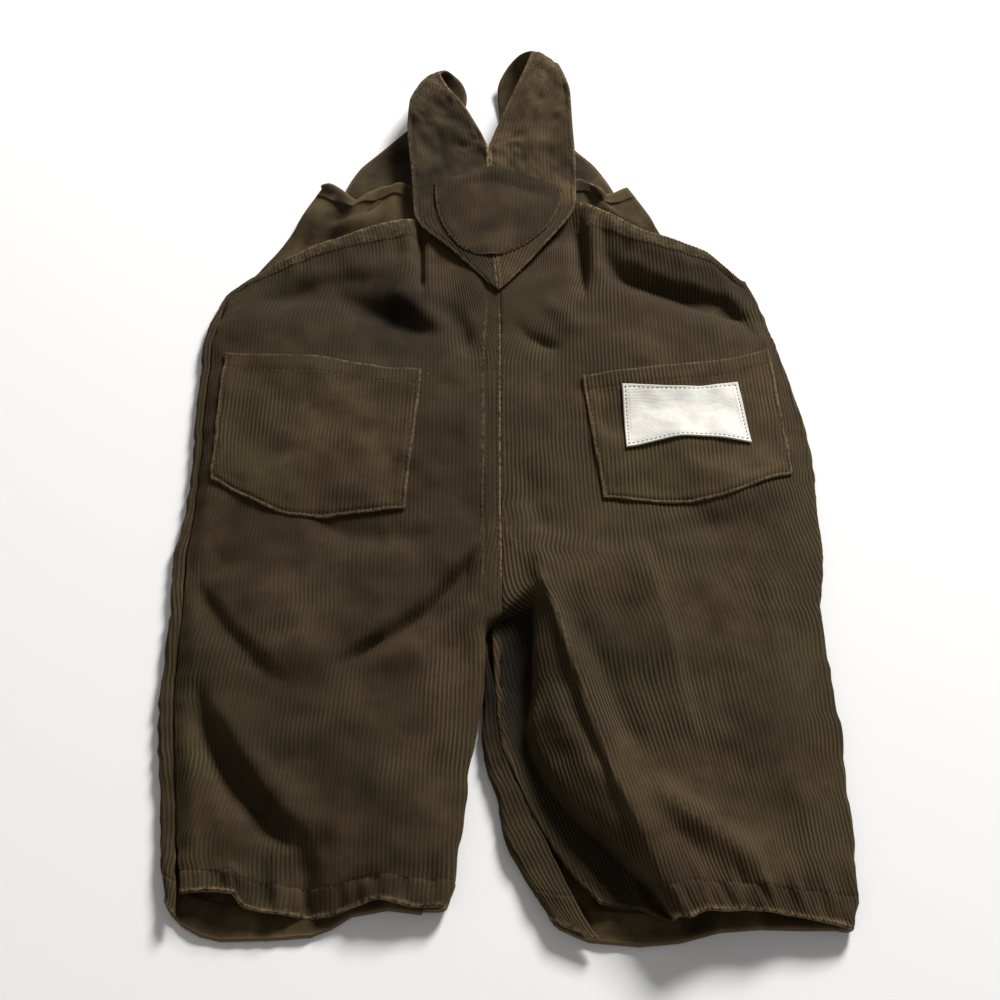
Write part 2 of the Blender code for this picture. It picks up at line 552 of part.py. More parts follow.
def front_right_sections():
    """Inseam on top, round the inner fold, then the flat run to the outer edge."""
    sections = []
    backs = sample_rows(BACK_RIGHT_ROWS, BODY_SAMPLES)
    for row, values, back in zip(BODY_SAMPLES, sample_rows(FRONT_RIGHT_ROWS, BODY_SAMPLES), backs):
        y_in, y_mid, x_in = values
        x_seam, y_seam, z_seam = back[:3]
        x_side, y_side, z_side = back[-3:]
        x_out = x_side - (z_side - FLAT_Z) / 2 - UNDER_LIP - SEAM_GAP
        if row <= INSEAM_TOP:
            turn = half_round(z_seam) + (x_seam - SEAM_GAP / 2) - (x_in + (z_seam - FLAT_Z) / 2)
            turn += (1.5 - turn) * easing(row - TOP_THIGH)
            fold = fold_run(x_in, y_in, z_seam, -1, turn, FOLD_STEPS, from_top=False)[::-1]
            edge = [(p[0], y_seam + (y_in - y_seam) * k / FOLD_STEPS, p[2]) for k, p in enumerate(fold)]
        else:
            edge = [(x_in + FELL_WIDTH * k / FOLD_STEPS, y_in, FLAT_Z) for k in range(FOLD_STEPS + 1)]
        flat = flat_run(edge[-1][0], x_out, y_in, y_mid, y_side, FLAT_Z, FLAT_STEPS)
        sections.append(edge + flat[1:])
    return sections


def bib_section(row, side):
    """Half the bib: an inner or outer run of close points, then even steps."""
    y_in, y_out, x_in, x_out, z = row
    close = (4.0 if side < 0 else FELL_WIDTH) / abs(x_out - x_in)
    if side < 0:
        shares = [close * k / FOLD_STEPS for k in range(FOLD_STEPS + 1)]
        shares += [close + (1.0 - close) * k / FLAT_STEPS for k in range(1, FLAT_STEPS + 1)]
        return [(x_out + (x_in - x_out) * s, y_out + (y_in - y_out) * s, z) for s in shares]
    shares = [close * k / FOLD_STEPS for k in range(FOLD_STEPS + 1)]
    shares += [close + (1.0 - close) * k / FLAT_STEPS for k in range(1, FLAT_STEPS + 1)]
    return [(x_in + (x_out - x_in) * s, y_in + (y_out - y_in) * s, z) for s in shares]


def build_front(name, body_sections, bib_rows, side, hem, bib_top):
    """One front, leg to bib top in one piece of cloth."""
    bib_at = [0, 1, 2, 3, 3.15, 4]
    values = sample_rows(bib_rows, bib_at)
    grid = np.array(body_sections + [bib_section(value, side) for value in values], float)
    row = np.array(BODY_SAMPLES + [14 + at for at in bib_at])[:, None]
    set_free_edge(grid, 1 - easing(row[:, 0] / 2.4), 0, hem)
    set_free_edge(grid, easing((row[:, 0] - 16.4) / 1.6), -1, bib_top)
    thickness = np.full(grid.shape[:2], CLOTH / 2)
    tucked = np.where(np.arange(grid.shape[1]) <= FOLD_STEPS, 0.5, 1.0)[None, :]
    inward = thickness + HEM_PLY * ((row <= 1.0) * tucked + (row > 17.1))
    inner_side, outer_side = offset_pair(grid, inward, thickness)
    sheet_solid(name, inner_side, outer_side, CORDUROY)


def sub_sheet(name, upper, place_at, row_at, place_from, place_to, row_from, row_to, ply, finish):
    """A piece sewn on a panel: the panel's own points moved out."""
    places = [i for i, p in enumerate(place_at) if place_from - 1e-6 <= p <= place_to + 1e-6]
    rows = [i for i, r in enumerate(row_at) if row_from - 1e-6 <= r <= row_to + 1e-6]
    normal = grid_normals(upper)
    patch = upper[rows[0]:rows[-1] + 1, places[0]:places[-1] + 1]
    out = normal[rows[0]:rows[-1] + 1, places[0]:places[-1] + 1]
    low = patch + out * SEAM_GAP
    high = patch + out * (SEAM_GAP + ply)
    sheet_solid(name, high, low, finish)
    return high


def build_label(below):
    """The label's own outline, settled on the cloth it is sewn to."""
    rows, places = below.shape[:2]
    faces = [(r * places + c, r * places + c + 1, (r + 1) * places + c + 1, (r + 1) * places + c)
             for r in range(rows - 1) for c in range(places - 1)]
    tree = BVHTree.FromPolygons([tuple(p) for p in below.reshape(-1, 3)], faces)
    share = np.linspace(0.0, 1.0, 9)
    top, bottom = [np.stack([smooth_curve([0, 0.5, 1], np.array(edge)[:, k], share) for k in range(2)], axis=1)
                   for edge in (LABEL_TOP, LABEL_BOTTOM)]
    grid = np.zeros((7, 9, 3))
    for r in range(7):
        for c in range(9):
            x, y = bottom[c] + (top[c] - bottom[c]) * r / 6
            hit = tree.ray_cast(Vector((x, y, 80.0)), Vector((0.0, 0.0, -1.0)))[0]
            grid[r, c] = (x, y, hit.z + LABEL_CLEAR + LABEL_PLY / 2)
    half = np.full(grid.shape[:2], LABEL_PLY / 2)
    upper, lower = offset_pair(grid, half, half)
    sheet_solid("label", upper, lower, LABEL_CLOTH)


def build_strap(name, stations, side):
    row_at = spaced(list(range(len(stations))), [2, 2, 2, 1, 1, 1, 2, 2, 2, 2, 1, 1, 1, 1, 1])
    edges = sample_rows(stations, row_at).reshape(-1, 2, 3)
    share = np.linspace(0.0, 1.0, 6)[None, :, None]
    grid = edges[:, :1] * (1.0 - share) + edges[:, 1:] * share
    if side < 0:
        grid = grid[:, ::-1]
    half = np.full(grid.shape[:2], CLOTH / 2)
    upper, lower = offset_pair(grid, half, half)
    sheet_solid(name, upper, lower, STRAP_CLOTH)
    return upper


def build_yoke_patch():
    rows = []
    for name, y, x_left, x_right in YOKE_PATCH_ROWS:
        rows.append([(x_left + (x_right - x_left) * k / 6, y, 15.05) for k in range(7)])
    grid = np.array(rows, float)
    half = np.full(grid.shape[:2], PATCH_PLY / 2)
    upper, lower = offset_pair(grid, half, half)
    sheet_solid("yoke_patch", upper, lower, STRAP_CLOTH)


def build_button(name, x, y):
    """Plain domed disc under the strap end, face down on the surface."""
    profile = ((0.0, 0.86), (0.5, 1.0), (BUTTON_HEIGHT, 0.92))
    sides = 24
    points = []
    for z, scale in profile:
        for k in range(sides):
            a = 2.0 * math.pi * k / sides
            reach = BUTTON_RADIUS * scale
            points.append((x + reach * math.cos(a), y + reach * math.sin(a), z))
    faces = [tuple(range(sides - 1, -1, -1)), tuple(range(2 * sides, 3 * sides))]
    for ring in range(2):
        for k in range(sides):
            n = (k + 1) % sides
            low = ring * sides
            faces.append((low + k, low + n, low + sides + n, low + sides + k))
    add_solid(name, points, faces, BUTTON_PLASTIC)


clear_scene()
build_front("front_left", front_left_sections(), BIB_LEFT_ROWS, -1, FRONT_LEFT_HEM, BIB_LEFT_TOP)
build_front("front_right", front_right_sections(), BIB_RIGHT_ROWS, 1, FRONT_RIGHT_HEM, BIB_RIGHT_TOP)
left_grid, left_top, left_places, left_rows = build_back_left()
right_grid, right_top, right_places, right_rows = build_back_right()
sub_sheet("pocket_left", left_top, left_places, left_rows, 0.08, 0.64, 9, 11, PATCH_PLY, POCKET_CLOTH)
pocket_top = sub_sheet(
    "pocket_right", right_top, right_places, right_rows, 0.26, 0.88, 9, 11, PATCH_PLY, POCKET_CLOTH)
build_label(pocket_top)
build_strap("strap_left", STRAP_LEFT_STATIONS, -1)
build_strap("strap_right", STRAP_RIGHT_STATIONS, 1)
build_yoke_patch()
build_button("button_left", -74.0, 206.5)
build_button("button_right", 51.5, 208.5)
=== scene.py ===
import math
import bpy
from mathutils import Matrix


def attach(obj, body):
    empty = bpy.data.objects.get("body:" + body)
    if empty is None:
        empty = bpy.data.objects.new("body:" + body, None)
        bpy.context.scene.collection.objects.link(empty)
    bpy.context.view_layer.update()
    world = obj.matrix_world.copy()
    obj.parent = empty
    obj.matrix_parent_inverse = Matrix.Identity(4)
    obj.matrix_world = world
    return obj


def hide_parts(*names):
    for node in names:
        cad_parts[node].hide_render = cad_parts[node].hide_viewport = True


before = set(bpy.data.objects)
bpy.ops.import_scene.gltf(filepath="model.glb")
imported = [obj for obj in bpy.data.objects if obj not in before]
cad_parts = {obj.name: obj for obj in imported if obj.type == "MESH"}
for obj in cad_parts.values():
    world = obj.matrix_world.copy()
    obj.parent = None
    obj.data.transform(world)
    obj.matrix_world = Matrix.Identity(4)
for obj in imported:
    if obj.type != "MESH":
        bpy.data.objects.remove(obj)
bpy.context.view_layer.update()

import bpy
import numpy as np
from mathutils import Vector
from mathutils.bvhtree import BVHTree

# Toddler's bib overalls in 12-wale corduroy, laid face down with the back uppermost.
# Lengths in the tables are millimetres; every piece is set down in metres by place().
garment = dict(
    cloth=1.3,           # one ply
    walePitch=2.117,     # 12 wales to the inch
    wallsPerWale=6,      # mesh columns across one wale
    ribHeight=0.36,
    ribAbove=0.14,       # how far a crest stands over the flat ply
    seamGap=0.3,
    seamClear=0.7,
    fellWidth=10.0,
    offset=(0.3, -40.6),
)
mm = 0.001
halfPly = garment["cloth"] / 2
flatZ = halfPly          # middle of a ply that lies on the floor
stitchLines = []         # every line of thread, gathered as the pieces are made


def toLinear(code):
    parts = [int(code[i:i + 2], 16) / 255 for i in (1, 3, 5)]
    return tuple(c / 12.92 if c <= 0.04045 else ((c + 0.055) / 1.055) ** 2.4 for c in parts) + (1.0,)


def addNode(tree, kind, settings=()):
    # a value that is another node's socket is linked, any other is set
    node = tree.nodes.new(kind)
    for key, value in dict(settings).items():
        if isinstance(value, bpy.types.NodeSocket):
            tree.links.new(value, node.inputs[key])
        elif isinstance(key, str) and hasattr(node, key):
            setattr(node, key, value)
        else:
            node.inputs[key].default_value = value
    return node


def addObject(name, mesh):
    made = bpy.data.objects.new(name, mesh)
    bpy.context.scene.collection.objects.link(made)
    return made


def place(points):
    points = np.asarray(points, float)
    return (points + (garment["offset"][0], garment["offset"][1], 0.0)) * mm


def smoothCurve(knots, values, at):
    # smooth through every value, never overshooting between neighbours
    knots = np.asarray(knots, float)
    values = np.asarray(values, float)
    at = np.asarray(at, float)
    wide = (-1,) + (1,) * (values.ndim - 1)
    gap = np.diff(knots).reshape(wide)
    slope = np.diff(values, axis=0) / gap
    tangent = np.zeros_like(values)
    tangent[0] = slope[0]
    tangent[-1] = slope[-1]
    w0 = 2 * gap[1:] + gap[:-1]
    w1 = gap[1:] + 2 * gap[:-1]
    same = slope[:-1] * slope[1:] > 0
    low = np.where(same, slope[:-1], 1.0)
    high = np.where(same, slope[1:], 1.0)
    tangent[1:-1] = np.where(same, (w0 + w1) / (w0 / low + w1 / high), 0.0)
    spot = np.clip(np.searchsorted(knots, at, side="right") - 1, 0, len(knots) - 2)
    h = gap[spot]
    t = ((at - knots[spot]).reshape(wide)) / h
    return ((2 * t**3 - 3 * t**2 + 1) * values[spot] + (t**3 - 2 * t**2 + t) * h * tangent[spot]
            + (3 * t**2 - 2 * t**3) * values[spot + 1] + (t**3 - t**2) * h * tangent[spot + 1])


def sampleTable(table, rowAt):
    values = np.array([np.concatenate([np.ravel(cell) for cell in row[1:]]) for row in table], float)
    return smoothCurve(range(len(table)), values, rowAt)


def easing(t):
    t = np.clip(t, 0.0, 1.0)
    return t * t * (3 - 2 * t)


def ramp(value, low, high):
    return easing((value - low) / (high - low))


def softNoise(x, y, size, seed):
    # smooth random field between -1 and 1, features about size millimetres wide
    table = np.random.default_rng(seed).uniform(-1, 1, (61, 61))
    u = x / size + 17.3
    v = y / size + 29.1
    iu = np.floor(u).astype(int)
    iv = np.floor(v).astype(int)
    fu = easing(u - iu)
    fv = easing(v - iv)
    a = table[iu % 61, iv % 61] * (1 - fu) + table[(iu + 1) % 61, iv % 61] * fu
    b = table[iu % 61, (iv + 1) % 61] * (1 - fu) + table[(iu + 1) % 61, (iv + 1) % 61] * fu
    return a * (1 - fv) + b * fv


def creaseHeight(x, y, creases):
    # each crease: points along it, height, reach to its left, reach to its right
    total = np.zeros_like(x)
    for path, height, reachLeft, reachRight in creases:
        path = np.asarray(path, float)
        step = np.hypot(*np.diff(path, axis=0).T)
        whole = step.sum()
        best = np.full(x.shape, 1e9)
        side = np.zeros_like(x)
        share = np.zeros_like(x)
        done = 0.0
        for (x0, y0), (x1, y1), length in zip(path[:-1], path[1:], step):
            ux, uy = (x1 - x0) / length, (y1 - y0) / length
            along = (x - x0) * ux + (y - y0) * uy
            across = (y - y0) * ux - (x - x0) * uy
            held = np.clip(along, 0, length)
            away = np.hypot(across, along - held)
            near = away < best
            best = np.where(near, away, best)
            side = np.where(near, across, side)
            share = np.where(near, (done + held) / whole, share)
            done += length
        reach = reachRight + (reachLeft - reachRight) * easing(0.5 + side / 3.0)
        taper = easing(share / 0.28) * easing((1 - share) / 0.28)
        total += height * taper * np.exp(-(best / reach) ** 2)
    return total


def foldRun(xFold, y, zHigh, side, length, zLow=flatZ, fromTop=True, steps=10):
    # a ply round a soft fold: half a circle first, then straight back inward
    radius = (zHigh - zLow) / 2
    xStart = xFold - side * radius
    points = []
    for k in range(steps + 1):
        s = length * k / steps
        if s < math.pi * radius:
            drop = radius * (1 - math.cos(s / radius))
            x = xStart + side * radius * math.sin(s / radius)
        else:
            drop = 2 * radius
            x = xStart - side * (s - math.pi * radius)
        points.append((x, y, zHigh - drop if fromTop else zLow + drop))
    return points


def halfRound(zHigh):
    return math.pi * (zHigh - flatZ) / 2


def surfaceNormals(grid):
    normal = np.cross(np.gradient(grid, axis=1), np.gradient(grid, axis=0))
    return normal / np.maximum(np.linalg.norm(normal, axis=2, keepdims=True), 1e-9)


def sway(grid):
    # the outline wanders a little, the same way for both plies
    x, y = grid[:, :, 0], grid[:, :, 1]
    outer = ramp(np.abs(x), 112, 150)
    inner = ramp(-y, 84, 104) * (1 - ramp(np.abs(x), 28, 60))
    lane = 40 * np.sign(x)
    shift = outer * (0.7 * softNoise(lane, y, 17, 91) + 0.5 * softNoise(lane, y, 6, 92))
    shift += inner * (1.0 * softNoise(lane, y, 13, 93) + 0.4 * softNoise(lane, y, 5, 94))
    grid[:, :, 0] = x + shift


def denseSurface(panel, rowAt, count=900):
    # the middle of the ply at every row, finely sampled across, with its creases pressed in
    flat = panel["sections"].reshape(len(panel["rows"]), -1)
    fine = smoothCurve(panel["rows"], flat, rowAt).reshape(len(rowAt), -1, 3)
    across = np.linspace(0, 1, count)
    grid = smoothCurve(panel["places"], fine.transpose(1, 0, 2), across).transpose(1, 0, 2)
    if "creases" not in panel:
        return grid, across
    x, y = grid[:, :, 0].copy(), grid[:, :, 1].copy()
    rows = np.asarray(rowAt)[:, None]
    press = creaseHeight(x, y, panel["creases"])
    for size, height, seed in panel["drift"]:
        press += height * softNoise(x, y, size, seed)
    grid[:, :, 2] += press * panel["calm"](across[None, :], rows)
    if "edges" not in panel:
        return grid, across
    sway(grid)
    lowEdge, highEdge = panel["edges"]
    for line, away, last in ((lowEdge, 1 - ramp(rows, 0, 2.4), 0), (highEdge, ramp(rows, 16.4, 18), -1)):
        if len(line):
            end = smoothCurve(panel["places"], panel["sections"][last], across)
            spots, wanted = np.array(line).T
            grid[:, :, 1] += away * (np.interp(end[:, 0], spots, wanted) - end[:, 1])[None, :]
    return grid, across


def lengthDown(line):
    return np.concatenate([[0], np.cumsum(np.linalg.norm(np.diff(line, axis=0), axis=1))])


def spacedOut(whole, spacing, tight, least, digits):
    # even lengths, closer at both ends and where a stitched line runs
    wanted = list(np.linspace(0, whole, int(whole / spacing) + 1)) + list(tight)
    for edge in (0.25, 0.6, 1.1, 1.8):
        wanted += [edge, whole - edge]
    wanted = np.unique(np.round(wanted, digits))
    keep = [wanted[0]]
    for value in wanted[1:]:
        if value - keep[-1] > least:
            keep.append(value)
    return np.array(keep)


def rowsByLength(panel, place, spacing, tight=()):
    # rows at even lengths along one line of the panel
    rowAt = np.linspace(panel["rows"][0], panel["rows"][-1], 600)
    grid, across = denseSurface(panel, rowAt, 60)
    length = lengthDown(grid[:, int(place * 59)])
    whole = length[-1]
    close = [(whole + spot if spot < 0 else spot)
             + step for spot in tight for step in (-1.0, -0.4, 0, 0.4, 1.0)]
    keep = spacedOut(whole, spacing, close, 0.22, 3)
    return np.interp(keep, length, rowAt), keep


def evenedOut(values, down, reach=11.0):
    # averages down the panel; beyond the ends the trend simply carries on
    spots = np.concatenate([-down[::-1], down, 2 * down[-1] - down[::-1]])
    longer = np.concatenate([2 * values[0] - values[::-1], values, 2 * values[-1] - values[::-1]])
    near = np.exp(-((down[:, None] - spots[None, :]) / reach) ** 2) * np.gradient(spots)[None, :]
    return near @ longer / near.sum(axis=1, keepdims=True)


def cutByWales(grid, across, v, anchor, stretch=0.0, lead=0.0):
    # columns lie along the wales: equal arc lengths from the anchor line, cut off by the panel's edges
    rows = len(grid)
    anchor, stretch, lead = (each + np.zeros(rows) for each in (anchor, stretch, lead))
    step = np.linalg.norm(np.diff(grid, axis=1), axis=2)
    arc = np.concatenate([np.zeros((rows, 1)), np.cumsum(step, axis=1)], axis=1)
    even = evenedOut(arc, lengthDown(grid[:, grid.shape[1] // 2]))
    wale = np.zeros_like(arc)
    for r in range(rows):
        wale[r] = (even[r] - np.interp(anchor[r], across, even[r])) * (1 + stretch[r]) + lead[r]
    pitch = garment["walePitch"] / garment["wallsPerWale"]
    low = math.floor(wale[:, 0].min() / pitch)
    high = math.ceil(wale[:, -1].max() / pitch)
    column = np.arange(low, high + 1) * pitch
    onColumns = lambda values: np.stack([np.interp(column, wale[r], values[r]) for r in range(rows)])
    normal = surfaceNormals(grid)
    cut = dict(v=v, u=np.clip(np.tile(column, (rows, 1)), wale[:, :1], wale[:, -1:]))
    cut["point"] = np.stack([onColumns(grid[:, :, k]) for k in range(3)], axis=2)
    cut["normal"] = np.stack([onColumns(normal[:, :, k]) for k in range(3)], axis=2)
    cut["normal"] /= np.linalg.norm(cut["normal"], axis=2, keepdims=True)
    cut["place"] = onColumns(np.tile(across, (rows, 1)))
    cut["left"] = onColumns(arc)                       # distances to the four edges of the piece
    cut["right"] = arc[:, -1:] - cut["left"]
    cut["low"] = v[:, None] + 0 * cut["u"]
    cut["high"] = v[-1] - cut["low"]
    cut["edge"] = np.minimum(cut["left"], cut["right"])
    first = [max(0, np.searchsorted(column, wale[r, 0], side="right") - 1) for r in range(rows)]
    last = [min(len(column) - 1, np.searchsorted(column, wale[r, -1], side="left")) for r in range(rows)]
    cut["first"], cut["last"] = np.array(first), np.array(last)
    return cut


def onCloth(cut, size, seed, across=1.0, along=1.0):
    # soft noise in the cloth's own lengths; none along it gives streaks down the wales
    return softNoise(across * cut["u"], along * cut["low"], size, seed)


def ribs(u, amount=1.0):
    # round tufts with a narrow groove between them
    phase = np.mod(u / garment["walePitch"], 1.0)
    crest = np.sin(math.pi * phase) ** 0.85
    return (crest * garment["ribHeight"] - (garment["ribHeight"] - garment["ribAbove"])) * amount


def bell(away, width):
    return np.exp(-(away / width) ** 2)


def groove(away, width, depth):
    return -depth * bell(away, width)


def edgeRound(away, radius=halfPly, least=0.25):
    t = np.clip(away / radius, 0, 1)
    return least + (1 - least) * np.sqrt(np.clip(1 - (1 - t) ** 2, 0, 1))


def clothWall(name, cut, outward, inward, marks, materials):
    # one closed ply: a ribbed face at full detail, a plain back at one column per wale
    point, normal = cut["point"], cut["normal"]
    rows, columns = point.shape[:2]
    index = np.arange(columns)[None, :]
    held = np.clip(index, cut["first"][:, None], cut["last"][:, None])
    ids = np.arange(rows)[:, None] * columns + held
    upper = (point + normal * outward[..., None]).reshape(-1, 3)
    lower = (point - normal * inward[..., None]).reshape(-1, 3)
    base = rows * columns
    coarse = list(range(0, columns, garment["wallsPerWale"]))
    if coarse[-1] != columns - 1:
        coarse.append(columns - 1)
    faces = []
    kinds = []

    def cover(table, flip, kind):
        a, b, e, d = table[:-1, :-1], table[:-1, 1:], table[1:, 1:], table[1:, :-1]
        whole = (a != b) & (d != e)
        lowPoint = (a == b) & (d != e)
        highPoint = (a != b) & (d == e)
        for corners, chosen in (((a, b, e, d), whole), ((a, e, d), lowPoint), ((a, b, e), highPoint)):
            block = np.stack(corners, -1)[chosen]
            block = block[:, ::-1] if flip else block
            faces.extend(block.tolist())
            kinds.extend([kind] * len(block))

    def rim(loop):
        clean = [k for i, k in enumerate(loop) if k != loop[i - 1]]
        if len(set(clean)) == len(clean) and len(clean) > 2:
            faces.append([int(k) for k in clean])
            kinds.append(0)

    cover(ids, False, 0)
    cover(ids[:, coarse] + base, True, 1)
    for r in range(rows - 1):
        a, d = ids[r, 0], ids[r + 1, 0]
        rim([a, d, d + base, a + base])
        b, e = ids[r, -1], ids[r + 1, -1]
        rim([e, b, b + base, e + base])
    for ja, jb in zip(coarse[:-1], coarse[1:]):
        run = list(ids[0, ja:jb + 1])
        rim(run[::-1] + [run[0] + base, run[-1] + base])
        run = list(ids[-1, ja:jb + 1])
        rim(run + [run[-1] + base, run[0] + base])

    used = np.unique(np.concatenate([np.asarray(f) for f in faces]))
    remap = np.zeros(2 * base, int)
    remap[used] = np.arange(len(used))
    everything = place(np.concatenate([upper, lower]))[used]
    mesh = bpy.data.meshes.new(name)
    mesh.from_pydata(everything.tolist(), [], [[int(remap[k]) for k in f] for f in faces])
    mesh.polygons.foreach_set("material_index", kinds)
    uv = np.stack([np.tile(cut[key].ravel(), 2) for key in ("u", "low")], axis=1)[used] * mm
    corners = np.zeros(len(mesh.loops), int)
    mesh.loops.foreach_get("vertex_index", corners)
    layer = mesh.uv_layers.new(name="cloth")
    layer.data.foreach_set("uv", uv[corners].ravel())
    for key, values in marks.items():
        layer = mesh.attributes.new(key, "FLOAT", "POINT")
        values = np.clip(values + 0 * cut["u"], -1, 1).ravel()
        layer.data.foreach_set("value", np.tile(values, 2)[used])
    mesh.shade_smooth()
    mesh.validate()
    for material in materials:
        mesh.materials.append(material)
    return addObject(name, mesh)


def sewnPiece(name, node, cut, outward, inward, marks, materials, threadStands=0.05):
    # rounds the free edges, keeps both faces off the floor, and gives the face that thread lies on
    rounded = edgeRound(np.minimum(np.minimum(cut["low"], cut["high"]), cut["edge"]))
    outward, inward = outward * rounded, inward * rounded
    up = cut["normal"][:, :, 2]
    lowest = cut["point"][:, :, 2] + np.minimum(up * outward, -up * inward)
    cut["point"][:, :, 2] += np.maximum(0, 0.02 - lowest)
    piece = clothWall(name, cut, outward, inward, marks, materials)
    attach(piece, "root")
    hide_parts(node)
    print(name, len(piece.data.polygons))
    return piece, cut["point"] + cut["normal"] * (outward + threadStands)[..., None]


def gaussianPatches(cut, patches):
    # sums soft patches: x, y, reach across, reach along, amount; used for pile lying another way, for painted
    # shade, and for pressed pile
    x, y = cut["point"][:, :, 0], cut["point"][:, :, 1]
    total = 0 * x
    for xAt, yAt, wide, long, amount in patches:
        total += amount * np.exp(-((x - xAt) / wide) ** 2 - ((y - yAt) / long) ** 2)
    return total


def crushOf(cut, base, patches, seed):
    # 0 where the wales stand up, 1 where they are pressed flat
    loose = base + gaussianPatches(cut, patches) + 0.32 * onCloth(cut, 24, seed)
    return np.clip(loose + 0.2 * onCloth(cut, 8, seed + 1), 0, 1)


def waver(cut, seed):
    # the wales are never quite straight
    side = np.gradient(cut["point"], axis=1)
    side /= np.maximum(np.linalg.norm(side, axis=2, keepdims=True), 1e-6)
    shift = 0.34 * onCloth(cut, 18, seed) + 0.10 * onCloth(cut, 6, seed + 1)
    cut["point"] = cut["point"] + side * (shift * ramp(cut["edge"], 0.0, 4.0))[..., None]


def lineAcross(cut, surface, at, trim=1.2):
    # a stitched line that crosses the wales, at one length along the panel
    v = cut["v"]
    spot = np.clip(np.searchsorted(v, at) - 1, 0, len(v) - 2)
    t = (at - v[spot]) / (v[spot + 1] - v[spot])
    low, high = max(cut["first"][spot:spot + 2]) + 1, min(cut["last"][spot:spot + 2])
    line = surface[spot] * (1 - t) + surface[spot + 1] * t
    return [tuple(line[j]) for j in range(low, high, 4) if cut["edge"][spot, j] > trim]


def lineAlong(cut, surface, away, fromRight=False, vFrom=0.0, vTo=1e9):
    # a stitched line that follows the left or right edge of the panel
    turn = -1 if fromRight else 1
    reach = cut["right"] if fromRight else cut["left"]
    points = []
    for r, v in enumerate(cut["v"]):
        if vFrom <= v <= vTo:
            held = slice(cut["first"][r], cut["last"][r] + 1)
            row = surface[r, held][::turn]
            points.append(tuple(np.interp(away, reach[r, held][::turn], row[:, k]) for k in range(3)))
    return points


# cloths, thread and trims
brownCord = dict(
    pile="#45351f",      # lit tufts
    napLift="#5b492f",   # where the pile is stroked the other way
    smudge="#3a2a18",
    tuftShade="#34281a",
    olive="#3f3a20",
    # painted shade between the wales, then a painted highlight on the crests of the wales
    grooveShade="#1d150b",
    crest="#7d6845",
    rubbed="#8a7454",    # edges worn pale
    lint="#b9ad97",
    tufts=(2900, 900, 1),    # to a metre: 0.35 mm across and 1.1 mm along the wale
    # mottling: clouds to a metre, detail, roughness, noise from, to, gives least, most
    clouds=dict(
        nap=(26, 4, 0.55, 0.43, 0.60, 0, 1),
        smudge=(95, 3, 0.6, 0.45, 0.68, 0, 0.6),
        olive=(17, 3, 0.55, 0.42, 0.66, 0, 0.55),
        standing=(34, 3, 0.6, 0.38, 0.62, 0.35, 1),
        fray=(420, 2, 0.5, 0.35, 0.6, 0, 1),
    ),
)


def startMaterial(name, settings):
    material = bpy.data.materials.new(name)
    material.use_nodes = True
    tree = material.node_tree
    shader = tree.nodes["Principled BSDF"]
    for key, value in settings.items():
        shader.inputs[key].default_value = value
    return material, tree, shader


def layColours(tree, base, layers):
    # each layer is a share and the colour it lays over what is there
    for share, over in layers:
        mix = addNode(tree, "ShaderNodeMix", {"data_type": "RGBA", 0: share, 6: base, 7: over})
        base = mix.outputs[2]
    return base


def napAndShadeColour(tree, colour, nap):
    # the nap mark makes the colour lighter or darker: pile stroked the other way, and on some pieces painted
    # shade and painted highlight laid into the same mark
    bright = addNode(tree, "ShaderNodeMath", {"operation": "MULTIPLY_ADD", 0: nap, 1: 0.85, 2: 1.0})
    return addNode(tree, "ShaderNodeHueSaturation", {"Color": colour, "Value": bright.outputs[0]}).outputs[0]


def finishSurface(tree, shader, colour, height=None, strength=0.0, distance=0.0):
    tree.links.new(colour, shader.inputs["Base Color"])
    if height:
        bump = addNode(tree, "ShaderNodeBump", {"Strength": strength, "Distance": distance, "Height": height})
        tree.links.new(bump.outputs[0], shader.inputs["Normal"])


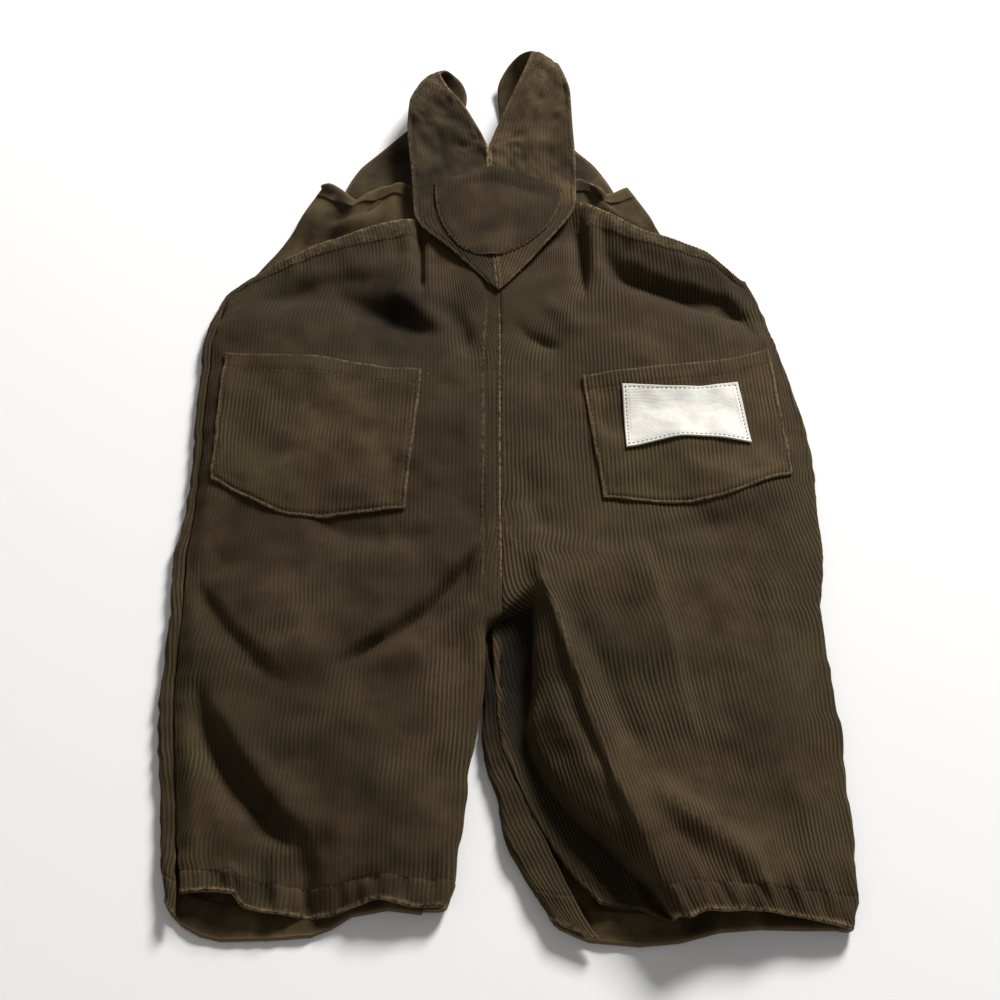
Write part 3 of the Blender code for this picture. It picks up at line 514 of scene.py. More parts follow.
def cordMaterial(name, tone=1.0, crushed=0.0, seed=0.0):
    # cotton corduroy, woven with a cut pile: matt tufts, painted shade between the wales and a painted
    # highlight on their crests, pale where rubbed
    material, tree, shader = startMaterial(name, {
        "Roughness": 0.93, "Specular IOR Level": 0.18, "Sheen Weight": 0.11, "Sheen Roughness": 0.42,
        "Sheen Tint": toLinear("#c9a878")})
    shade = lambda key: tuple(c * tone for c in toLinear(brownCord[key])[:3]) + (1.0,)
    cloth = addNode(tree, "ShaderNodeUVMap", {"uv_map": "cloth"}).outputs[0]
    solid = addNode(tree, "ShaderNodeTexCoord").outputs["Object"]
    moved = addNode(tree, "ShaderNodeMapping", {"Location": (seed, seed * 0.7, 0),
                                                "Vector": solid}).outputs[0]
    # what was noted on each piece as it was made
    mark = {}
    for key in ("wear", "nap", "crush"):
        mark[key] = addNode(tree, "ShaderNodeAttribute", {"attribute_name": key}).outputs["Fac"]
    # how far from the crest of the wale, 0 to a half
    away = addNode(tree, "ShaderNodeSeparateXYZ", {0: cloth}).outputs[0]
    walesPerMetre = 1 / (garment["walePitch"] * mm)
    for operation, amount in (("MULTIPLY", walesPerMetre), ("FRACT", 0), ("SUBTRACT", 0.5), ("ABSOLUTE", 0)):
        away = addNode(tree, "ShaderNodeMath", {"operation": operation, 0: away, 1: amount}).outputs[0]
    tuftPlace = addNode(tree, "ShaderNodeVectorMath", {"operation": "MULTIPLY", 0: cloth,
                                                       1: brownCord["tufts"]})
    tufts = addNode(tree, "ShaderNodeTexNoise", {
        "Scale": 1.0, "Detail": 3.0, "Roughness": 0.6, "Vector": tuftPlace.outputs[0]}).outputs[0]
    tuftFac = addNode(tree, "ShaderNodeMapRange", {
        "Value": tufts, "From Min": 0.3, "From Max": 0.75, "To Max": 0.55})
    cloud = {}
    for key, (scale, detail, rough, low, high, least, most) in brownCord["clouds"].items():
        noise = addNode(tree, "ShaderNodeTexNoise", {
            "Scale": scale, "Detail": detail, "Roughness": rough,
            "Vector": solid if key == "olive" else moved})
        cloud[key] = addNode(tree, "ShaderNodeMapRange", {
            "Value": noise.outputs[0], "From Min": low, "From Max": high, "To Min": least,
            "To Max": most}).outputs[0]
    # the wales hardly show where the pile has been flattened
    upright = addNode(tree, "ShaderNodeMath", {
        "operation": "MULTIPLY_ADD", 0: mark["crush"], 1: -0.9, 2: 1.0})
    wales = addNode(tree, "ShaderNodeMath", {"operation": "MULTIPLY", 0: upright.outputs[0],
                                             1: cloud["standing"]})
    # painted shade in the grooves between the wales and a painted highlight on their crests, both fainter
    # where the pile is flattened
    share = {}
    bands = (("groove", 0.12, 0.5, 0.0, 0.72 - 0.2 * crushed), ("crest", 0.0, 0.2, 0.5, 0.0))
    for key, low, high, least, most in bands:
        band = addNode(tree, "ShaderNodeMapRange", {
            "interpolation_type": "SMOOTHSTEP", "Value": away, "From Min": low, "From Max": high,
            "To Min": least, "To Max": most})
        share[key] = addNode(tree, "ShaderNodeMath", {
            "operation": "MULTIPLY", 0: band.outputs[0], 1: wales.outputs[0]}).outputs[0]
    colour = layColours(tree, shade("pile"), (
        (cloud["nap"], shade("napLift")), (cloud["smudge"], shade("smudge")),
        (tuftFac.outputs[0], shade("tuftShade")), (cloud["olive"], shade("olive")),
        (share["groove"], shade("grooveShade")), (share["crest"], shade("crest"))))
    worn = addNode(tree, "ShaderNodeMath", {"operation": "MULTIPLY", 0: mark["wear"], 1: cloud["fray"]})
    specks = addNode(tree, "ShaderNodeTexVoronoi", {"Scale": 19.0, "Randomness": 1.0, "Vector": moved})
    lint = addNode(tree, "ShaderNodeMapRange", {
        "Value": specks.outputs["Distance"], "From Min": 0.008, "From Max": 0.016, "To Min": 0.7,
        "To Max": 0.0})
    # the nap mark brings pile tone and painted shade; then pale wear, which also holds a painted highlight on
    # the fold crests
    colour = layColours(tree, napAndShadeColour(tree, colour, mark["nap"]), (
        (worn.outputs[0], toLinear(brownCord["rubbed"])), (lint.outputs[0], toLinear(brownCord["lint"]))))
    finishSurface(tree, shader, colour, tufts, 0.7, 0.00022)
    return material


def backMaterial(name, thread=0.0005655):
    # the plain-woven wrong side: threads drawn 0.57 mm apart, coarser than the real 0.4 mm, so that they show
    material, tree, shader = startMaterial(name, {
        "Roughness": 0.95, "Specular IOR Level": 0.15, "Sheen Weight": 0.12, "Sheen Roughness": 0.5,
        "Sheen Tint": toLinear("#c9a878")})
    cloth = addNode(tree, "ShaderNodeUVMap", {"uv_map": "cloth"}).outputs[0]
    solid = addNode(tree, "ShaderNodeTexCoord").outputs["Object"]
    warp, weft = (addNode(tree, "ShaderNodeTexWave", {
        "bands_direction": way, "Scale": math.pi / 10 / thread, "Distortion": 1.5, "Vector": cloth})
        for way in "XY")
    weave = addNode(tree, "ShaderNodeMath", {
        "operation": "MAXIMUM", 0: warp.outputs["Fac"], 1: weft.outputs["Fac"]}).outputs[0]
    nap = addNode(tree, "ShaderNodeTexNoise", {
        "Scale": 40.0, "Detail": 4.0, "Roughness": 0.6, "Vector": solid})
    napFac = addNode(tree, "ShaderNodeMapRange", {
        "Value": nap.outputs[0], "From Min": 0.36, "From Max": 0.64})
    between = addNode(tree, "ShaderNodeMapRange", {"Value": weave, "To Min": 0.4, "To Max": 0.0})
    colour = layColours(tree, toLinear("#281f13"), (
        (napFac.outputs[0], toLinear("#55482f")), (between.outputs[0], toLinear("#2b2116"))))
    wear, nap = (addNode(tree, "ShaderNodeAttribute", {"attribute_name": key}).outputs["Fac"]
                 for key in ("wear", "nap"))
    # the nap mark brings painted shade here too, under the crotch and along the hem's puckers
    colour = layColours(tree, napAndShadeColour(tree, colour, nap), ((wear, toLinear("#7d684a")),))
    finishSurface(tree, shader, colour, weave, 0.5, 0.0002)
    return material


def labelMaterial(name, rib=0.000748):
    # damask-woven polyester label, a faint sheen, greyed by washing; left blank but for a woven edge line.
    # its cross ribs are drawn 0.75 mm apart, coarser than the real 0.3 mm, so that they show
    material, tree, shader = startMaterial(name, {
        "Roughness": 0.7, "Specular IOR Level": 0.35, "Sheen Weight": 0.1, "Sheen Roughness": 0.4})
    cloth = addNode(tree, "ShaderNodeUVMap", {"uv_map": "cloth"}).outputs[0]
    solid = addNode(tree, "ShaderNodeTexCoord").outputs["Object"]
    weave = addNode(tree, "ShaderNodeTexWave", {
        "bands_direction": "Y", "Scale": math.pi / 10 / rib, "Distortion": 0.6, "Vector": cloth})
    cloud = addNode(tree, "ShaderNodeTexNoise", {
        "Scale": 110.0, "Detail": 5.0, "Roughness": 0.6, "Vector": solid})
    wear = addNode(tree, "ShaderNodeAttribute", {"attribute_name": "wear"})
    grey = addNode(tree, "ShaderNodeMapRange", {
        "Value": cloud.outputs[0], "From Min": 0.35, "From Max": 0.75, "To Max": 0.7})
    colour = layColours(tree, toLinear("#f0ede4"), (
        (grey.outputs[0], toLinear("#d2ccbf")), (wear.outputs["Fac"], toLinear("#b0a896"))))
    finishSurface(tree, shader, colour, weave.outputs["Fac"], 0.4, 0.00012)
    return material


def cloudedMaterial(name, settings, low, high, clouds):
    # one material all through, streaked between two colours
    material, tree, shader = startMaterial(name, settings)
    solid = addNode(tree, "ShaderNodeTexCoord").outputs["Object"]
    cloud = addNode(tree, "ShaderNodeTexNoise", {**clouds, "Vector": solid})
    finishSurface(tree, shader, layColours(tree, toLinear(low), ((cloud.outputs[0], toLinear(high)),)))
    return material


cordCloth = cordMaterial("corduroyBrownPile", tone=0.70)
strapCord = cordMaterial("corduroyStrapPile", tone=0.88, crushed=0.6, seed=3.0)
pocketCord = cordMaterial("corduroyPocketPile", tone=0.78, crushed=0.25, seed=5.0)
clothBack = backMaterial("corduroyPlainBack")
labelWoven = labelMaterial("damaskWovenLabel")
# spun polyester sewing thread, nearly matt
threadSpun = cloudedMaterial("spunPolyesterThread", {"Roughness": 0.8, "Specular IOR Level": 0.2},
                             "#2b2115", "#453722", {"Scale": 300.0, "Detail": 2.0})
# moulded polyester button, dark brown with a soft gloss and clouded streaks
buttonMoulded = cloudedMaterial("mouldedPolyesterButton", {"Roughness": 0.32, "IOR": 1.54,
                                                           "Coat Weight": 0.15},
                                "#2c2117", "#5a442d", {"Scale": 180.0, "Detail": 3.0, "Distortion": 1.4})
print("materials ready")


# the pieces' sections, row by row from the hem up
# back, left leg and seat: side seam, pocket outer edge, middle, pocket inner edge, inner edge
backLeftRows = (
    ("hem", (-143, -223, 6.5), (-131, -224, 9.5), (-88, -233, 5.6), (-51, -228, 10), (-25, -227, 8)),
    ("hemTop", (-144, -211, 6), (-133, -212, 9), (-88, -219, 6.5), (-49, -215, 11), (-22.5, -214, 8.5)),
    ("calf", (-147, -190, 4.6), (-137, -192, 9), (-90, -195, 9.5), (-46, -193, 12.5), (-18.8, -192, 9)),
    ("lowKnee", (-150, -163, 4.4), (-140, -165, 9.5), (-91, -167, 12), (-44, -166, 13), (-15.6, -165, 9.5)),
    ("knee", (-153, -136, 4.4), (-143, -138, 10), (-92, -140, 12.5), (-41, -139, 12.5), (-11.8, -137.5, 10)),
    ("thigh", (-155.3, -108, 4.4), (-145, -111, 10), (-92, -112, 13), (-37, -111, 12), (-8.8, -110, 10.5)),
    ("inseamTop", (-155.6, -76, 4.4), (-146, -79, 10), (-92, -80, 13), (-33, -80, 11), (-7.2, -83, 10.5)),
    ("crotch", (-155.8, -63, 4.4), (-146, -66, 10), (-92, -68, 12.5), (-34, -68, 10.5), (0.6, -73, 11)),
    ("seat", (-156.3, -38, 4.4), (-147, -42, 10), (-94, -46, 11.5), (-38, -45, 10.5), (0.6, -40, 10.5)),
    ("pocketLow", (-154.7, 8, 4.4), (-147.6, 5, 9), (-101, -19, 11), (-48, -12.5, 11), (0, -8, 9.5)),
    ("hip", (-155.5, 44, 4.4), (-148, 41, 9.5), (-98, 35, 12.5), (-45, 31, 11.5), (0, 31, 9.5)),
    ("pocketTop", (-156.3, 95, 4.4), (-148.3, 91.5, 8.5), (-96, 83, 12), (-42, 76, 11.5), (0, 76, 9.5)),
    ("chest", (-152, 119, 4.4), (-140.5, 121.5, 8), (-94, 126, 10), (-45, 125, 10), (0, 104, 9.5)),
    ("armhole", (-148.2, 139, 3.6), (-133.5, 150.5, 7.5), (-93.2, 172.5, 10.5), (-46, 187, 10),
     (-0.4, 138.5, 10.2)),
)
# back, right leg and seat: inner edge, foot of the fold, crest, middle, pocket outer edge, side fold
backRightRows = (
    ("hem", (43.5, -223, 6.5), (77, -224, 5.4), (83, -227, 14.5), (109, -226, 12.5), (139, -225, 10.5),
     (155.5, -230, 7.5)),
    ("hemTop", (33, -211, 6), (66, -211, 4.4), (74.5, -213, 17.5), (105, -213, 13.5), (139, -213, 11),
     (157.8, -215, 7)),
    ("calf", (20.6, -190, 4.8), (43, -190, 3.4), (61.5, -191, 19), (100, -192, 13.5), (138, -193, 11.5),
     (160.2, -190, 6)),
    ("lowKnee", (7.8, -163, 4.8), (21, -163, 3.7), (50, -164, 19), (95, -165, 13.5), (136.5, -165, 12),
     (160, -162, 6)),
    ("knee", (-1, -137, 4.6), (12.5, -136, 3.2), (42, -138, 18.5), (88, -140, 14), (135.5, -138, 12),
     (160, -135, 6)),
    ("thigh", (-3.4, -110, 4.6), (15.5, -110, 3.2), (35, -112, 18), (84, -114, 14), (134, -112, 12),
     (158.4, -108, 6)),
    ("inseamTop", (-4.2, -78, 3.2), (16.5, -70, 3.6), (26.5, -76, 16.5), (80, -82, 14), (131, -81, 12),
     (157.6, -77, 6)),
    ("crotch", (1.2, -73, 11), (14.5, -63, 12), (23, -62, 16.5), (80, -69, 14), (131, -68, 12),
     (158, -64, 6)),
    ("seat", (1.2, -40, 10.5), (12.5, -40, 11.5), (21, -42, 14), (84, -46, 13.5), (134, -42, 12),
     (161, -38, 6)),
    ("pocketLow", (0.6, -8, 9.5), (25.5, -8, 11.5), (52.3, -6.5, 11.5), (96, -11, 12.5), (149.7, 8, 10),
     (162.2, 13, 6)),
    ("hip", (0.6, 31, 9.5), (23.4, 30, 11.5), (48.3, 30, 11.5), (96, 32, 12.5), (147.8, 45, 10),
     (159, 49, 6)),
    ("pocketTop", (0.6, 76, 9.5), (21.3, 75, 11.5), (44.2, 73, 11.5), (94, 78, 11.5), (144.2, 92.5, 8.5),
     (149.8, 97, 5.5)),
    ("chest", (0.6, 104, 9.5), (22.9, 114, 11), (43.9, 127, 11), (88, 130, 8.5), (130.5, 127, 7.5),
     (143.8, 124, 5.5)),
    ("armhole", (0.2, 138.5, 10.2), (23, 176.5, 10.2), (42, 201, 10), (79, 177, 10.5), (114, 164.5, 8),
     (136.6, 146, 4.6)),
)
# front, left: y at the inner edge, y in the middle, x of the inner edge, x of the side fold
frontLeftRows = (
    ("hem", -227, -240, -35.5, -149),
    ("hemTop", -214.5, -227, -33, -151),
    ("calf", -192, -199, -29.6, -154),
    ("lowKnee", -165, -168, -26.6, -157.2),
    ("knee", -138, -140, -23, -160),
    ("thigh", -110, -112, -20.5, -162),
    ("inseamTop", -78.5, -80, -10, -161.6),
    ("crotch", -65, -67, -0.3, -162),
    ("seat", -40, -41, -0.3, -162.8),
    ("pocketLow", 8, 8, -0.3, -158.6),
    ("hip", 44, 44, -0.3, -160),
    ("pocketTop", 93, 94, -0.6, -161),
    ("chest", 116, 117, -1.8, -157),
    ("armhole", 131, 132.5, -2.8, -150.5),
)
# front, right: the inner side folds up over the leg as far as the inseam on top
frontRightRows = (
    ("hem", -230, -240, 23),
    ("hemTop", -217, -227, 15),
    ("calf", -193, -199, 3.6),
    ("lowKnee", -164, -168, -2.6),
    ("knee", -137, -139, -8.6),
    ("thigh", -110, -111, -8.2),
    ("inseamTop", -78.5, -79, -6.2),
    ("crotch", -65, -66, 0.3),
    ("seat", -40, -41, 0.3),
    ("pocketLow", 8, 8, 0.3),
    ("hip", 44, 44, 0.3),
    ("pocketTop", 93, 94, 0),
    ("chest", 116, 118, -1.2),
    ("armhole", 131, 134, -2.2),
)
# bib part of each front: y inner, y outer, x inner, x outer, height of the ply
bibLeftRows = (
    ("low", 148, 152.5, -4.4, -138.5, 0.75),
    ("mid", 165, 171, -6.6, -126, 0.75),
    ("waist", 179, 183, -8.8, -119, 1.8),
    ("side", 192, 195, -10.8, -113, 4.85),
    ("top", 215.5, 215.5, -14.3, -102, 4.85),
)
bibRightRows = (
    ("low", 148, 156, -3.8, 130, 0.75),
    ("mid", 165, 172, -6, 104, 0.75),
    ("waist", 179, 183, -8.2, 92, 1.8),
    ("side", 192, 195, -10.2, 85.5, 4.85),
    ("top", 215.5, 215.5, -13.7, 74, 4.85),
)
# straps, inner edge then outer edge, from the point of the yoke over the fold and back under
strapLeftStations = (
    ("yokePoint", (-0.8, 132.5, 12.2), (-6.5, 138, 12.2)),
    ("yokeLow", (-2.8, 160, 12.8), (-27, 162, 12.4)),
    ("yokeHigh", (-4.8, 196, 13.2), (-48.5, 188.5, 12.4)),
    ("notch", (-6.8, 240, 13.6), (-51.5, 224, 13.4)),
    ("rise", (-9.6, 249, 14.4), (-54.5, 257, 15)),
    ("shoulder", (-22.8, 276, 17.5), (-53.8, 277, 16)),
    ("crest", (-31.8, 289, 18.5), (-49, 290.5, 16.4)),
    ("foldTop", (-35.6, 301, 16.5), (-44, 301, 13.5)),
    ("foldEnd", (-30.5, 309, 10.5), (-41.5, 306.5, 9)),
    ("foldLow", (-23.5, 306.5, 4.5), (-41.5, 299.5, 4.2)),
    ("underTop", (-20, 296, 0.9), (-45.5, 287, 0.9)),
    ("underMid", (-24, 272, 0.65), (-54.5, 270.5, 0.65)),
    ("underLow", (-36, 247, 0.65), (-69, 252.5, 0.65)),
    ("bibEdge", (-48, 226, 1.6), (-83, 234, 1.6)),
    ("button", (-53.5, 212, 3.15), (-90, 215, 3.15)),
    ("end", (-57, 196, 3.15), (-93.5, 198.5, 3.15)),
)
strapRightStations = (
    ("yokePoint", (-0.7, 132.5, 12.2), (4.6, 138, 12.2)),
    ("yokeLow", (-2.7, 160, 12.8), (24, 164.5, 12.4)),
    ("yokeHigh", (-4.7, 196, 13.2), (43.5, 200, 12.4)),
    ("notch", (-6.7, 240, 13.6), (43.8, 230, 13.4)),
    ("rise", (-4.6, 248.5, 14.4), (42.6, 261, 15.2)),
    ("shoulder", (7.6, 282.5, 18.5), (41.8, 284, 17.5)),
    ("crest", (15.5, 303, 21.5), (37.5, 300, 19.5)),
    ("foldTop", (19, 316.5, 20), (34.5, 309, 17)),
    ("foldEnd", (12.5, 320.5, 14.5), (33, 311.5, 11.5)),
    ("foldLow", (3.5, 313.5, 8), (32, 305.5, 5.5)),
    ("underTop", (-1.5, 300, 3.4), (32.5, 293, 1.8)),
    ("underMid", (0, 275, 0.8), (35, 276, 0.65)),
    ("underLow", (9, 248, 0.65), (42, 256.5, 0.65)),
    ("bibEdge", (22.5, 225, 1.6), (55.5, 238, 1.6)),
    ("button", (31.5, 210, 3.15), (64.5, 219, 3.15)),
    ("end", (37.5, 196, 3.15), (70.5, 204, 3.15)),
)
# yoke patch: y, left edge, right edge, height
yokePatchRows = (
    ("tip", 157.5, -12, 1.5, 14.2),
    ("round", 162, -20.5, 9.5, 14.3),
    ("low", 171, -27.5, 19.5, 14.4),
    ("side", 186, -34, 29.5, 14.5),
    ("upper", 204, -37, 34.5, 14.65),
    ("top", 221, -37.5, 36, 14.75),
)
# where each free edge really runs: x, y
backLeftHem = ((-145.8, -218.2), (-126.7, -218.2), (-117.7, -219.6), (-113.7, -225.2), (-103.8, -227.6),
               (-88.3, -228.5),
               (-74.6, -228.5), (-66.4, -225.2), (-53.2, -222), (-39.8, -225.2), (-26.6, -224.8))
backRightHem = ((43, -223), (60, -225), (76, -231), (83.4, -234), (90.2, -230.3), (107.9, -228.9),
                (131.9, -230.7), (153.5, -234.4))
frontLeftHem = ((-149.1, -221.2), (-146.4, -226.5), (-141.4, -231.5), (-133, -236.2), (-123.5, -238.5),
                (-101.5, -238), (-83.9, -236.6),
                (-74.8, -232.9), (-66, -227), (-50, -224), (-35, -226))
frontRightHem = ((20, -225.9), (26.6, -232.9), (39.7, -238.9), (61.6, -240.9), (79.3, -239.2), (97.3, -234.3),
                 (115.1, -232.9), (132.8, -233.4), (154.9, -233.4))
bibLeftTop = ((-104, 219.5), (-98, 218), (-90, 212.5), (-82.5, 206.5), (-77, 211), (-69, 218), (-58, 219.5),
              (-46, 217), (-14, 215.5))
bibRightTop = ((-14, 215.5), (30, 219), (46, 224), (53, 219.5), (59.5, 210.5), (65, 212), (70, 215.5),
               (74, 217.5))
# soft creases: points along each, height, reach to its left, reach to its right
backCreases = (
    # left leg
    (((-148, -108), (-138, -132), (-128, -152), (-117, -168), (-104, -184), (-92, -194), (-84, -208)), -9, 4,
     11.5),
    (((-134, -118), (-119, -148), (-107, -166), (-92, -182)), 2.6, 9, 5),
    (((-152, -48), (-147, -61), (-132, -85), (-111, -108), (-98, -118)), -3.6, 4, 9),
    (((2, -26), (-10, -38), (-21, -52), (-36, -72), (-54, -88), (-86, -110)), -6.4, 9, 3.2),
    (((-2, -56), (-16, -74), (-36, -92), (-60, -108)), 2.6, 9, 5),
    (((-104, -16), (-76, -28), (-44, -30), (-20, -22)), -2.4, 6, 8),
    (((-88, -196), (-85, -216), (-84, -238)), -3, 4, 5),
    (((-124, -238), (-120, -222), (-117, -206)), 4, 9, 7),
    (((-60, -238), (-58, -216)), 2, 6, 6),
    (((-72, -150), (-52, -168), (-38, -196)), 1.6, 12, 9),
    # left chest
    (((-44.5, 188), (-44.5, 160), (-43, 126)), -4.6, 2.4, 3.2),
    (((-51, 184), (-51, 158), (-54, 132)), 2.2, 4, 5),
    (((-140, 124), (-112, 136), (-85, 143), (-56, 140)), -3.6, 6, 12),
    (((-96, 138), (-72, 122), (-52, 112), (-32, 98)), -6, 7, 12),
    (((-62, 136), (-44, 118), (-26, 104)), 2.6, 6, 5),
    (((-30, 128), (-20, 108), (-14, 84)), -1.8, 5, 6),
    # right chest
    (((45, 196), (46, 172), (47, 150), (46, 124)), -6, 2.6, 5.5),
    (((52, 190), (53, 162), (55, 136)), 3, 4.5, 3.5),
    (((52, 166), (68, 149), (86, 139), (105, 133), (122, 128), (134, 116), (140, 98)), -7.5, 5, 9.5),
    (((48, 190), (78, 169), (110, 154), (132, 144)), 1.4, 8, 7),
    (((4, 114), (15, 101), (36, 92)), -2.8, 3, 5),
    (((20, 128), (34, 118), (44, 100)), 1.8, 6, 6),
    (((10, 20), (16, -10), (26, -34)), -2.2, 6, 5),
    # right leg: the sharp fold, its rolled wall, then the softer runs beside it
    (((12, -42), (19, -54), (25, -71), (35, -109), (41, -132), (52, -168), (62, -192), (71, -210),
      (80, -230)), 4.2, 9, 2.6),
    (((22, -108), (28, -134), (40, -160), (54, -184)), 2.4, 6, 6),
    (((26, -54), (36, -86), (50, -113), (58, -140), (70, -172)), -3.6, 8, 6.5),
    (((62, -16), (70, -44), (77, -76), (83, -112), (88, -141), (95, -172)), 3.4, 5, 15),
    (((92, -52), (103, -96), (106, -140), (112, -168)), -2.2, 9, 9),
    (((62, -164), (80, -180), (98, -192), (112, -203), (126, -216)), 3.2, 6, 7),
    (((66, -184), (84, -198), (100, -212), (112, -226)), -1.6, 6, 7),
    (((40, -20), (62, -34), (92, -30), (126, -18)), -1.8, 8, 8),
    (((128, -40), (136, -80), (132, -120)), 1.4, 8, 8),
    (((120, -236), (118, -208)), 2.2, 6, 7),
)


def backLeftSections(rowAt):
    sections = []
    for row, values in zip(rowAt, sampleTable(backLeftRows, rowAt)):
        side, outer, middle, inner, centre = values.reshape(5, 3)
        points = [side, outer, middle, inner]
        if row <= 6:
            half = halfRound(centre[2])
            turn = (half + 6.0) + (0.6 * half - half - 6.0) * easing(row - 5)
            points += foldRun(centre[0], centre[1], centre[2], 1, turn)
        else:
            for step in range(11):
                x = centre[0] - garment["fellWidth"] + (garment["fellWidth"] + 0.4) * step / 10
                share = (x - inner[0]) / (centre[0] - inner[0])
                points.append((x, inner[1] + (centre[1] - inner[1]) * share, centre[2]))
        sections.append(points)
    return np.array(sections, float)


def backRightSections(rowAt):
    sections = []
    for row, values in zip(rowAt, sampleTable(backRightRows, rowAt)):
        centre, foot, crest, middle, outer, side = values.reshape(6, 3)
        fold = foldRun(side[0], side[1], side[2], 1, halfRound(side[2]) + 3.0)
        edge = (centre[0] + (garment["seamGap"] / 2 if row <= 6 else -0.1), centre[1], centre[2])
        rolled = 1 - ramp(row, 5.4, 6.6)
        share = np.array([0.31 - 0.15 * rolled, 0.31, 0.31 + 0.38 * rolled])
        shoulder = foot + (crest - foot) * share
        sections.append([edge, foot, shoulder, crest, middle, outer] + fold)
    return np.array(sections, float)


def flatRun(xFrom, xTo, yFrom, yMiddle, yTo, steps=6):
    # across the floor, the ends joined by a bow
    points = []
    for k in range(steps + 1):
        s = k / steps
        bow = 4 * s * (1 - s)
        y = yFrom + (yTo - yFrom) * s + (yMiddle - (yFrom + yTo) / 2) * bow
        points.append((xFrom + (xTo - xFrom) * s, y, flatZ))
    return points


def bibHalf(values, side):
    # one straight row of the bib, its points closest at the centre front
    yIn, yOut, xIn, xOut, z = values
    close = (4.0 if side < 0 else garment["fellWidth"]) / abs(xOut - xIn)
    shares = [close * k / 10 for k in range(11)] + [close + (1 - close) * k / 6 for k in range(1, 7)]
    if side < 0:
        return [(xOut + (xIn - xOut) * s, yOut + (yIn - yOut) * s, z) for s in shares]
    return [(xIn + (xOut - xIn) * s, yIn + (yOut - yIn) * s, z) for s in shares]


def frontSections(rowAt, side):
    sections = []
    backs = sampleTable(backLeftRows if side < 0 else backRightRows, rowAt)
    fronts = sampleTable(frontLeftRows if side < 0 else frontRightRows, rowAt)
    for row, values, back in zip(rowAt, fronts, backs):
        yIn, yMid, xIn = values[:3]
        if side < 0:
            xSeam, ySide, zSeam = back[:3]
            turn = halfRound(zSeam) + (xSeam - garment["seamClear"]) - (values[3] + (zSeam - flatZ) / 2)
            turn += (0.5 * halfRound(zSeam) - turn) * easing(row - 12)
            fold = foldRun(values[3], ySide, zSeam, -1, turn, fromTop=False)
            flat = flatRun(xIn, fold[0][0], yIn, yMid, ySide)
            sections.append((flat + fold[1:])[::-1])
            continue
        xSeam, ySeam, zSeam = back[:3]
        xSide, ySide, zSide = back[-3:]
        xOut = xSide - (zSide - flatZ) / 2 - 3.0 - garment["seamGap"]
        if row <= 6:
            turn = halfRound(zSeam) + (xSeam - garment["seamGap"] / 2) - (xIn + (zSeam - flatZ) / 2)
            turn += (1.5 - turn) * easing(row - 5)
            fold = foldRun(xIn, yIn, zSeam, -1, turn, fromTop=False)[::-1]
            edge = [(p[0], ySeam + (yIn - ySeam) * k / 10, p[2]) for k, p in enumerate(fold)]
        else:
            edge = [(xIn + garment["fellWidth"] * k / 10, yIn, flatZ) for k in range(11)]
        sections.append(edge + flatRun(edge[-1][0], xOut, yIn, yMid, ySide)[1:])
    bib = sampleTable(bibLeftRows if side < 0 else bibRightRows, [0, 1, 2, 3, 4])
    sections += [bibHalf(values, side) for values in bib]
    return np.array(sections, float)[:, ::-1]     # reversed, so that the pile side faces out


def anchorAtX(grid, across, rowAt, knots, xs, low, high):
    # the place on each row where the top of the panel passes a given x
    xAt = smoothCurve(knots, xs, rowAt)
    inside = (across >= low) & (across <= high)
    return np.array([np.interp(x, grid[r, inside, 0], across[inside]) for r, x in enumerate(xAt)])


# folds given a painted highlight along their crests, in the pale worn colour
crestHighlightLines = (
    ((0, 134), (0, 40), (0, -8), (4, -26), (12, -42), (19, -54), (25, -71), (35, -109), (41, -132),
     (52, -168), (62, -192), (71, -210)),
    ((62, -166), (80, -182), (98, -194), (112, -205)),
)
# darker and lighter patches: pile tone at random, and painted shade in the folds, on the rolled wall of the
# right leg and under the armhole bands: x, y, reach across, reach along, amount
napAndShadePatches = (
    (6, -60, 8, 9, 0.3), (0, 40, 170, 62, -0.08), (-52, 126, 16, 26, -0.55), (-84, 118, 30, 18, -0.10),
    (-70, 96, 44, 14, -0.14), (-96, -150, 22, 30, -0.14), (20, -90, 14, 30, -0.18), (-28, -120, 10, 60, 0.12),
    (-136, -206, 14, 12, 0.16), (-62, -172, 22, 20, -0.14), (76, 40, 10, 60, 0.08), (-92, 124, 40, 15, -0.24),
    (-62, 116, 24, 16, -0.30), (-30, -66, 14, 9, -0.24), (-50, -78, 26, 12, -0.16),
    (-112, -176, 14, 20, -0.12),
    (-22, -150, 14, 60, 0.14), (24, -112, 9, 24, -0.25), (32, -150, 12, 18, -0.25), (48, -185, 12, 14, -0.22),
    (8, -44, 12, 18, 0.18), (100, 45, 50, 40, 0.12), (-118, 118, 20, 30, -0.12), (-90, -60, 40, 26, -0.06),
    (-110, -160, 26, 26, -0.10), (-60, -200, 34, 24, -0.06), (-140, -160, 10, 60, 0.24),
    (-50, -52, 30, 16, -0.14),
    (100, 134, 34, 11, -0.34), (70, 146, 14, 9, -0.26), (46, 150, 5, 26, -0.22), (60, 120, 20, 16, 0.10),
    (42, -98, 9, 26, -0.18), (94, -96, 10, 46, -0.12), (72, -112, 8, 50, 0.10), (110, -200, 30, 16, 0.10),
    (120, 30, 20, 60, 0.06), (18, 60, 14, 60, 0.05), (8, -56, 10, 16, 0.16), (140, -60, 16, 60, 0.06),
)
# painted shade on the front's cloth under the crotch and the right leg
pitShadePatches = ((3, -98, 17, 30, -1.0), (4, -122, 14, 20, -0.6), (20, -160, 12, 14, -0.45),
              (42, -190, 12, 12, -0.5), (60, -208, 10, 9, -0.5), (0, -140, 10, 20, -0.35))
bodyRows = [k / 2 for k in range(13)] + [6.5 + k / 2 for k in range(1, 14)]


